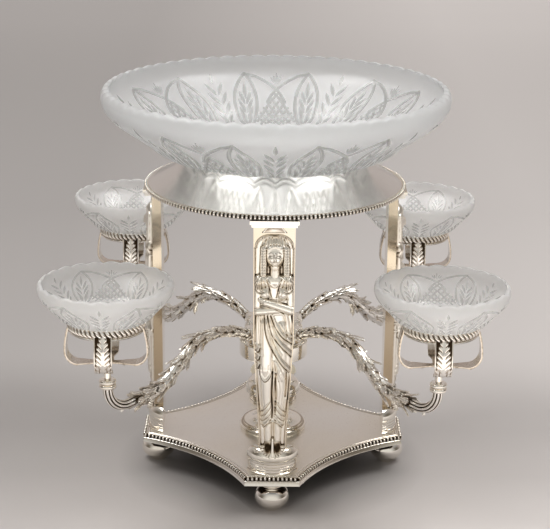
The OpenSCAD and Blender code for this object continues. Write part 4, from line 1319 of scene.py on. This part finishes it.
class LargeDish:
    """Section and cutting of the large dish; the cut lies between two distances along the wall."""

    foot_r, foot_z, foot_top = 79.4, SEAT_Z, 314.9
    r, wall = 165.0, 5.0
    rim_z, rim_in, rim_h = 380.9, 5.0, 8.5
    scallops, notch = 63, 1.6
    columns, rows = 63 * 16, 118
    groups = 7
    cut_from, cut_to, stroke = 12.0, 97.0, 2.35


class SmallDish:
    """Section and cutting of a small dish, as for the large one."""

    foot_r, foot_z, foot_top = 29.7, 191.92, 199.22
    r, wall = 60.5, 3.6
    rim_z, rim_in, rim_h = 234.72, 2.2, 4.5
    scallops, notch = 24, 1.5
    columns, rows = 24 * 20, 66
    groups = 3
    cut_from, cut_to, stroke = 6.0, 43.5, 1.25


def dish_wall(dish):
    """Outer wall of a dish from the foot's top to the widest place."""
    rise, reach = dish.rim_z - dish.rim_h - dish.foot_top, dish.r - dish.foot_r

    def at(out, up):
        return (dish.foot_r + out * reach, dish.foot_top + up * rise)

    low = bezier(at(0, 0), at(0.42, 0.04), at(0.4, 0.17), at(0.58, 0.35), 60)
    high = bezier(at(0.58, 0.35), at(0.83, 0.62), at(1, 0.72), at(1, 1), 60)
    return even_run(np.concatenate([low, high[1:]]), dish.rows)


def leaf_stroke(a, b, width):
    """A cut that swells between two places, as (places, half widths)."""
    t = np.linspace(0, 1, 6)
    places = np.asarray(a)[None, :] * (1 - t[:, None]) + np.asarray(b)[None, :] * t[:, None]
    return places, width * (0.25 + 0.75 * np.sin(math.pi * np.clip(t * 0.9 + 0.08, 0, 1)))


def line_stroke(places, width):
    """A cut of one width along a run of places."""
    places = np.asarray(places, float)
    return places, np.full(len(places), width)


def cut_strokes():
    """Strokes of half a group.

    Places are shares of the half group and of the cut's height, and widths are shares of the dish's stroke.
    """
    strokes = []
    # sprig of leaves on the group's middle
    for k, wide in enumerate((0.10, 0.135, 0.165, 0.165, 0.14)):
        low = 0.03 + 0.155 * k
        strokes.append(leaf_stroke((0.022, low), (wide, low + 0.2), 1.15))
    strokes.append(leaf_stroke((0.0, 0.84), (0.0, 1.0), 1.1))
    oval = 0.525
    t = np.linspace(0, 1, 25)

    def swell(share):
        return 0.205 * np.sin(math.pi * np.clip(share, 0.001, 0.999) ** 0.92) ** 0.85

    def axis(share):
        return oval - 0.15 * (1 - np.asarray(share))

    # leaning pointed oval with a sprig inside
    for s in (-1, 1):
        strokes.append(line_stroke(np.column_stack([axis(t) + s * swell(t), 0.98 * t]), 1.0))
        for k, wide in enumerate((0.09, 0.128, 0.132, 0.10)):
            low = 0.10 + 0.125 * k
            high = low + 0.22
            strokes.append(leaf_stroke((axis(low) + s * 0.018, low), (axis(high) + s * wide, high), 1.1))
    strokes.append(leaf_stroke((axis(0.56), 0.56), (axis(0.84), 0.84), 1.1))
    # arch between two ovals, the lattice under it and the small leaves over it
    arch = [(oval + 0.01, 0.97), (0.68, 0.93), (0.80, 0.86), (0.90, 0.785)]
    arch += [(1.0, 0.70), (1.08, 0.61), (1.15, 0.5)]
    strokes.append(line_stroke(arch, 1.0))
    for k in range(8):
        low = -0.58 + 0.15 * k
        run = np.column_stack([np.linspace(0.60, 1.40, 33), low + np.linspace(0, 0.88, 33)])
        roof = np.interp(np.abs(run[:, 0] - 1), [0, 0.1, 0.2, 0.4], [0.66, 0.58, 0.47, 0.3])
        clear = 0.02 + swell(run[:, 1] / 0.98)
        inside = (run[:, 1] > 0.06) & (run[:, 1] < roof)
        inside &= np.abs(run[:, 0] - axis(run[:, 1])) > clear
        inside &= np.abs(run[:, 0] - 2 + axis(run[:, 1])) > clear
        if inside.sum() > 2:
            strokes.append(line_stroke(run[inside], 0.85))
    for lean in (0.0, 0.05, 0.095):
        strokes.append(leaf_stroke((1.0 - 0.3 * lean, 0.80), (1.0 - lean, 0.98 - 0.5 * lean), 0.7))
    # double line of hanging bows below all of it
    for low in (0.0, -0.05):
        first = np.linspace(0, oval, 13)
        second = np.linspace(oval, 1, 9)
        dip = 0.05 * np.sin(math.pi * first / oval)
        strokes.append(line_stroke(np.column_stack([first, low - dip]), 0.75))
        dip = 0.05 * np.sin(math.pi * (second - oval) / (2 - 2 * oval))
        strokes.append(line_stroke(np.column_stack([second, low - dip]), 0.75))
    return strokes


def cut_pattern(dish, run):
    """Depth of the cutting, from 0 to 1, on the wall's grid of rows and columns."""
    per_group = dish.columns // dish.groups
    half = per_group // 2 + 1
    far = np.concatenate([[0], np.cumsum(np.hypot(*np.diff(run, axis=0).T))])
    span = math.pi / dish.groups
    angle = np.arange(half)[None, :] * math.tau / dish.columns
    height = dish.cut_to - dish.cut_from
    deep = np.zeros((len(run), half))
    for places, widths in cut_strokes():
        along = dish.cut_from + places[:, 1] * height
        for share in (places[:, 0], -places[:, 0], 2.0 - places[:, 0]):
            theta = share * span
            for k in range(len(places) - 1):
                dx = (theta[k + 1] - theta[k]) * run[:, :1]
                ds = along[k + 1] - along[k]
                px = (angle - theta[k]) * run[:, :1]
                ps = (far - along[k])[:, None]
                t = np.clip((px * dx + ps * ds) / (dx * dx + ds * ds + 1e-9), 0, 1)
                off = np.hypot(px - t * dx, ps - t * ds)
                wide = dish.stroke * (widths[k] + t * (widths[k + 1] - widths[k]))
                cut = np.clip(1 - off / wide, 0, 1) * np.clip(wide / dish.stroke, 0.4, 1.1)
                deep = np.maximum(deep, cut)
    column = np.arange(dish.columns) % per_group
    return deep[:, np.minimum(column, per_group - column)]


def cut_dish(name, dish, depth):
    """A dish about the upright axis: cut outer wall, scalloped rim and a plain inside that shows the cuts."""
    run = dish_wall(dish)
    deep = cut_pattern(dish, run)
    along = unit(np.gradient(run, axis=0))
    inward = np.column_stack([-along[:, 1], along[:, 0]])
    rim_turn = np.linspace(0, 90, 8)[1:] * DEG
    rim_r, bulge_z = dish.r - dish.rim_in, dish.rim_z - dish.rim_h
    rim = np.column_stack([rim_r + dish.rim_in * np.cos(rim_turn), bulge_z + dish.rim_h * np.sin(rim_turn)])
    inner = run + inward * dish.wall
    lip = rim_r - 0.5 * dish.wall
    below_lip = (lip + 0.3, dish.rim_z - 0.35 * dish.rim_h)
    over_wall = (inner[-1, 0], inner[-1, 1] + 0.3 * dish.rim_h)
    top = bezier((lip, dish.rim_z), below_lip, over_wall, tuple(inner[-1]), 8)[:-1]
    floor_z = inner[1, 1]
    keep = inner[:, 1] > floor_z + 0.05
    foot = [(dish.foot_r - 1.0, dish.foot_z), (dish.foot_r, dish.foot_z + 1.0)]
    foot.append((dish.foot_r, dish.foot_top - 0.4))
    profile = np.concatenate([foot, run, rim, top, inner[keep][::-1], [(inner[1, 0] - 1.0, floor_z)]])
    count = len(profile)
    turn = -math.pi / 2 + np.arange(dish.columns) * math.tau / dish.columns
    r = np.repeat(profile[:, :1], dish.columns, axis=1)
    z = np.repeat(profile[:, 1:], dish.columns, axis=1)
    cut = np.zeros((count, dish.columns))
    rim_from = len(foot) + dish.rows
    top_from = rim_from + len(rim)
    wall = slice(len(foot), rim_from)
    r[wall] += inward[:, :1] * deep * depth
    z[wall] += inward[:, 1:] * deep * depth
    cut[wall] = np.clip(1.5 * deep, 0, 1)
    inside = slice(count - 1 - int(keep.sum()), count - 1)
    seen = deep[keep][::-1]
    cut[inside] = 0.8 * np.clip(1.4 * seen, 0, 1)
    r[inside] -= inward[keep][::-1, :1] * 0.12 * depth * seen
    wave = np.abs(np.cos(dish.scallops / 2 * turn)) - 1
    raised = np.zeros(count)
    raised[rim_from:top_from] = np.sin(rim_turn) ** 3
    raised[top_from:top_from + len(top)] = np.linspace(1, 0, len(top)) ** 2
    z += dish.notch * raised[:, None] * wave[None, :]
    casting = Casting()
    casting.shell(np.stack([r * np.cos(turn), r * np.sin(turn), z], axis=-1), cut)
    return casting.mesh(name, sharp=80, layer="cut")


class EPERGNE_OT_stage(bpy.types.Operator):
    """Makes the floor, the soft studio light and the camera"""

    bl_idname = "epergne.stage"
    bl_label = "Set the stage"

    def execute(self, context):
        scene = context.scene
        scene.view_settings.view_transform = "Standard"
        self.floor()
        self.world(scene)
        self.lamps()
        self.camera(scene)
        return {"FINISHED"}

    def floor(self):
        """A wide paper floor with painted light and shade: lighter to the right, in front of the base and far
        behind it, and darker under the base.
        """
        mesh = bpy.data.meshes.new("studio_floor")
        far = 40.0
        mesh.from_pydata([(-far, -far, 0), (far, -far, 0), (far, far, 0), (-far, far, 0)], [], [(0, 1, 2, 3)])
        floor = linked("studio_floor", mesh)
        material, tree, shader = shader_of("studio_paper")
        where = object_place(tree)
        way = axes(tree, where)
        # painted light: the floor is lighter to the right
        left, right = (tuple(share * c for c in finishes().floor) for share in (0.92, 1.36))
        across = ramp(tree, spread(tree, way["X"], 0, 1, -0.3, 0.4), [(0.0, left), (1.0, right)])
        # painted light and shade by depth: lighter in front of the base, darker from the base back, and lighter
        # again far behind
        depth = spread(tree, way["Y"], 0, 1, -0.3, 2.6)
        shares = ((0.0, 0.93), (0.05, 1.0), (0.09, 0.74), (0.13, 0.63), (0.42, 0.60), (1.0, 0.77))
        painted_depth_light = ramp(tree, depth, [(at, (share, share, share)) for at, share in shares])
        # painted shadow: darker in a round patch under the base
        away = tree.nodes.new("ShaderNodeVectorMath")
        away.operation = "LENGTH"
        tree.links.new(where, away.inputs[0])
        painted_base_shadow = spread(tree, away.outputs["Value"], 0.4, 1, 0.07, 0.155)
        paper = blend(tree, 1.0, blend(tree, 1.0, across, painted_depth_light, "MULTIPLY"), painted_base_shadow, "MULTIPLY")
        feed(tree, shader.inputs["Base Color"], paper)
        shader.inputs["Roughness"].default_value = 0.85
        shader.inputs["Specular IOR Level"].default_value = 0.2
        mesh.materials.append(material)

    def world(self, scene):
        """Pale studio: bright behind and in front, softer overhead, dark and brown low down at the sides."""
        world = bpy.data.worlds.new("studio")
        scene.world = world
        world.use_nodes = True
        tree = world.node_tree
        background = tree.nodes["Background"]
        way = axes(tree, tree.nodes.new("ShaderNodeTexCoord").outputs["Generated"])
        dark, mid = (0.23, 0.20, 0.165), (0.50, 0.48, 0.455)
        high, top = (0.62, 0.61, 0.60), (0.34, 0.34, 0.34)
        sky = ramp(tree, way["Z"], [(0.36, dark), (0.60, mid), (0.75, high), (0.97, top)])
        ahead = spread(tree, way["Y"], 1, 0, -0.85, -0.38)
        room = blend(tree, ahead, sky, (1.15, 1.12, 1.05, 1))
        behind = spread(tree, way["Y"], 0, 1, -0.1, 0.5)
        low = spread(tree, way["Z"], 1, 0, 0.4, 0.8)
        backdrop = blend(tree, maths(tree, "MULTIPLY", behind, low), room, (0.82, 0.735, 0.70, 1))
        feed(tree, background.inputs["Color"], backdrop)
        background.inputs["Strength"].default_value = 0.62

    def lamps(self):
        """Soft boxes over both sides, above and behind, and a low pale card in front."""
        for name, place_at, size, power, colour, aim_at in (
            ("key_softbox", (-1.15, 0.05, 2.3), (1.3, 1.0), 26.0, (1.0, 0.985, 0.96), (0, 0, 0.2)),
            ("fill_softbox", (1.15, 0.05, 2.2), (1.0, 1.0), 22.0, (1.0, 0.99, 0.975), (0, 0, 0.2)),
            ("top_softbox", (0.0, 0.3, 1.7), (1.3, 1.1), 7.0, (1.0, 1.0, 1.0), (0, 0.1, 0.2)),
            ("front_card", (0.0, -0.97, 0.03), (2.2, 1.2), 7.2, (1.0, 0.975, 0.93), (0, -0.97, 1)),
            ("backdrop_softbox", (0.1, 3.9, 2.4), (5.0, 1.6), 52.0, (1.0, 0.985, 0.975), (0.1, 3.9, 0)),
        ):
            light = bpy.data.lights.new(name, "AREA")
            light.shape = "RECTANGLE"
            light.size, light.size_y = size
            light.energy = power
            light.color = colour
            lamp = linked(name, light)
            lamp.location = place_at
            aim = Vector(aim_at) - Vector(place_at)
            lamp.rotation_euler = aim.to_track_quat("-Z", "Y").to_euler()
            lamp.visible_glossy = name != "backdrop_softbox"

    def camera(self, scene):
        """The photograph's camera, looking a little down."""
        look_down, roll = 17.523, 0.6
        lens = bpy.data.cameras.new("camera")
        lens.sensor_width = 36.0
        lens.lens = 112.58
        lens.shift_x = 0.0013
        lens.clip_end = 50.0
        camera = linked("camera", lens)
        turn = Matrix.Rotation((90 - look_down) * DEG, 4, "X") @ Matrix.Rotation(roll * DEG, 4, "Z")
        camera.matrix_world = Matrix.Translation((0, -1.5954, 0.7084)) @ turn
        scene.camera = camera


class EPERGNE_OT_plain_silver(bpy.types.Operator):
    """Gives the plain pieces of the frame their finish, and turns the round ones smooth"""

    bl_idname = "epergne.plain_silver"
    bl_label = "Finish the plain silver"

    def execute(self, context):
        f = finishes()
        polished = silver_plate("silver_polished", f.gloss)
        # the base plate's underside is painted dark as shade
        satin = silver_plate("silver_satin", 0.28, scratch=0.0, shaded_underside=True)
        spun_tones = [tuple(share * c for c in f.silver) for share in (0.87, 0.92)]
        spun = silver_plate("silver_spun", 0.22, scratch=0.0, tones=spun_tones)
        turned = silver_plate("silver_turned", 0.13, tarnished_and_shaded=True, tones=(f.cream, f.warm_silver))
        lacquered = (tuple(0.85 * c for c in f.warm_silver), f.yellowed)
        for pair, across in ((("front", "back"), "X"), (("left", "right"), "Y")):
            name = "silver_lacquered_" + "_".join(pair)
            slab = silver_plate(name, 0.10, tones=lacquered, browned=across)
            finish_nodes([f"pilaster_{side}" for side in pair], slab)
        columns = [f"capital_{side}" for side in SIDES]
        holders = [f"{piece}_{corner}" for piece in ("nozzle", "post") for corner in CORNERS]
        finish_nodes(["stand_flange"] + columns + holders, polished)
        finish_nodes(["base_plate"], satin)
        finish_nodes(["tie_rod", "tie_nut"], plain_steel("inner_steel"))
        place("spun_stand", spun_stand(), "stand", ["bowl_stand"], spun)
        place("stepped_pedestal", stepped_pedestal(), "stand", ["pedestal"], turned)
        place("knopped_stem", knopped_stem(), "stand", ["stem"], turned)
        place("socketed_hub", socketed_hub(), "stand", ["hub"], turned)
        place("domed_cap", domed_cap(), "stand", ["hub_cap"], turned)
        foot, socle = bun_foot(), round_socle()
        for i, side in enumerate(SIDES):
            place(f"bun_foot_{side}", foot, "stand", [f"foot_{side}"], polished, side_turn(i))
            place(f"round_socle_{side}", socle, "stand", [f"socle_{side}"], turned, side_turn(i))
        return {"FINISHED"}


class EPERGNE_OT_borders(bpy.types.Operator):
    """Makes the beaded borders of the base plate and of the stand"""

    bl_idname = "epergne.borders"
    bl_label = "Bead the borders"

    def execute(self, context):
        trim = silver_plate("silver_trim", 0.18, tarnished_and_shaded=True)
        place("base_bead_border", beaded_base_border(), "stand", ["base_border"], trim)
        place("stand_bead_border", beaded_stand_edge(), "stand", ["stand_border"], trim)
        return {"FINISHED"}


class EPERGNE_OT_figures(bpy.types.Operator):
    """Carves the draped figures of the four columns"""

    bl_idname = "epergne.figures"
    bl_label = "Carve the figures"

    def execute(self, context):
        tones = (finishes().cream, finishes().warm_silver)
        relief = silver_plate("silver_relief", 0.28, tarnished_and_shaded=True, tones=tones)
        mesh = draped_figure()
        for i, side in enumerate(SIDES):
            nodes = [f"figure_{side}"]
            place(f"draped_figure_{side}", mesh, "stand", nodes, relief, side_turn(i))
        return {"FINISHED"}


class EPERGNE_OT_branches(bpy.types.Operator):
    """Casts the four foliate branches and their reeded elbows"""

    bl_idname = "epergne.branches"
    bl_label = "Cast the branches"

    def execute(self, context):
        tones = (finishes().silver, finishes().cream)
        cast = silver_plate("silver_cast", 0.25, tarnished_and_shaded=True, tones=tones)
        branch, elbow = foliate_branch(), reeded_elbow()
        for i, corner in enumerate(CORNERS):
            body, turn = f"branch_{corner}", corner_turn(i)
            place(f"foliate_branch_{corner}", branch, body, [f"branch_{corner}"], cast, turn)
            place(f"reeded_elbow_{corner}", elbow, body, [f"elbow_{corner}"], cast, turn)
        return {"FINISHED"}


class EPERGNE_OT_holders(bpy.types.Operator):
    """Makes the leaf straps and gadrooned rings that hold the small dishes"""

    bl_idname = "epergne.holders"
    bl_label = "Make the dish holders"

    def execute(self, context):
        worked = silver_plate("silver_worked", 0.11, tarnished_and_shaded=True)
        straps, ring = strap_cage(), gadrooned_ring()
        for i, corner in enumerate(CORNERS):
            body, turn = f"holder_{corner}", corner_turn(i)
            place(f"leaf_straps_{corner}", straps, body, [f"straps_{corner}"], worked, turn)
            place(f"gadrooned_ring_{corner}", ring, body, [f"ring_{corner}"], worked, turn)
        return {"FINISHED"}


class EPERGNE_OT_dishes(bpy.types.Operator):
    """Blows and cuts the large dish and the four small dishes"""

    bl_idname = "epergne.dishes"
    bl_label = "Cut the dishes"

    def execute(self, context):
        mesh = cut_dish("large_cut_dish", LargeDish, sizes().large_cut / MM)
        thick = frosted_glass("cut_glass", 0.68, 0.36, tint=(0.965, 0.995, 1.02))
        place("large_cut_dish", mesh, "centre_dish", ["large_dish"], thick)
        mesh = cut_dish("small_cut_dish", SmallDish, sizes().small_cut / MM)
        thin = frosted_glass("cut_glass_thin", 0.52, 0.36, 0.7)
        for i, corner in enumerate(CORNERS):
            body, nodes = f"dish_{corner}", [f"small_dish_{corner}"]
            dish = place(f"small_cut_dish_{corner}", mesh, body, nodes, thin)
            out, turn = REACH * MM, corner_turn(i)
            dish.matrix_world = Matrix.Translation((out * math.cos(turn), out * math.sin(turn), 0))
        return {"FINISHED"}


class EPERGNE_PT_pieces(bpy.types.Panel):
    """Lists the epergne's pieces"""

    bl_idname = "EPERGNE_PT_pieces"
    bl_label = "Epergne"
    bl_space_type = "VIEW_3D"
    bl_region_type = "UI"
    bl_category = "Epergne"

    def draw(self, context):
        for operator in OPERATORS:
            self.layout.operator(operator.bl_idname)
        for group in (context.scene.epergne_sizes, context.scene.epergne_finishes):
            column = self.layout.column(align=True)
            for name in group.__annotations__:
                column.prop(group, name)


OPERATORS = (
    EPERGNE_OT_stage,
    EPERGNE_OT_plain_silver,
    EPERGNE_OT_borders,
    EPERGNE_OT_figures,
    EPERGNE_OT_branches,
    EPERGNE_OT_holders,
    EPERGNE_OT_dishes,
)
CLASSES = (EpergneSizes, EpergneFinishes, *OPERATORS, EPERGNE_PT_pieces)


def register():
    for kind in CLASSES:
        bpy.utils.register_class(kind)
    bpy.types.Scene.epergne_sizes = bpy.props.PointerProperty(type=EpergneSizes)
    bpy.types.Scene.epergne_finishes = bpy.props.PointerProperty(type=EpergneFinishes)


def unregister():
    del bpy.types.Scene.epergne_finishes
    del bpy.types.Scene.epergne_sizes
    for kind in reversed(CLASSES):
        bpy.utils.unregister_class(kind)


def main():
    register()
    bpy.ops.epergne.stage()
    bpy.ops.epergne.plain_silver()
    bpy.ops.epergne.borders()
    bpy.ops.epergne.figures()
    bpy.ops.epergne.branches()
    bpy.ops.epergne.holders()
    bpy.ops.epergne.dishes()


if __name__ == "__main__":
    main()
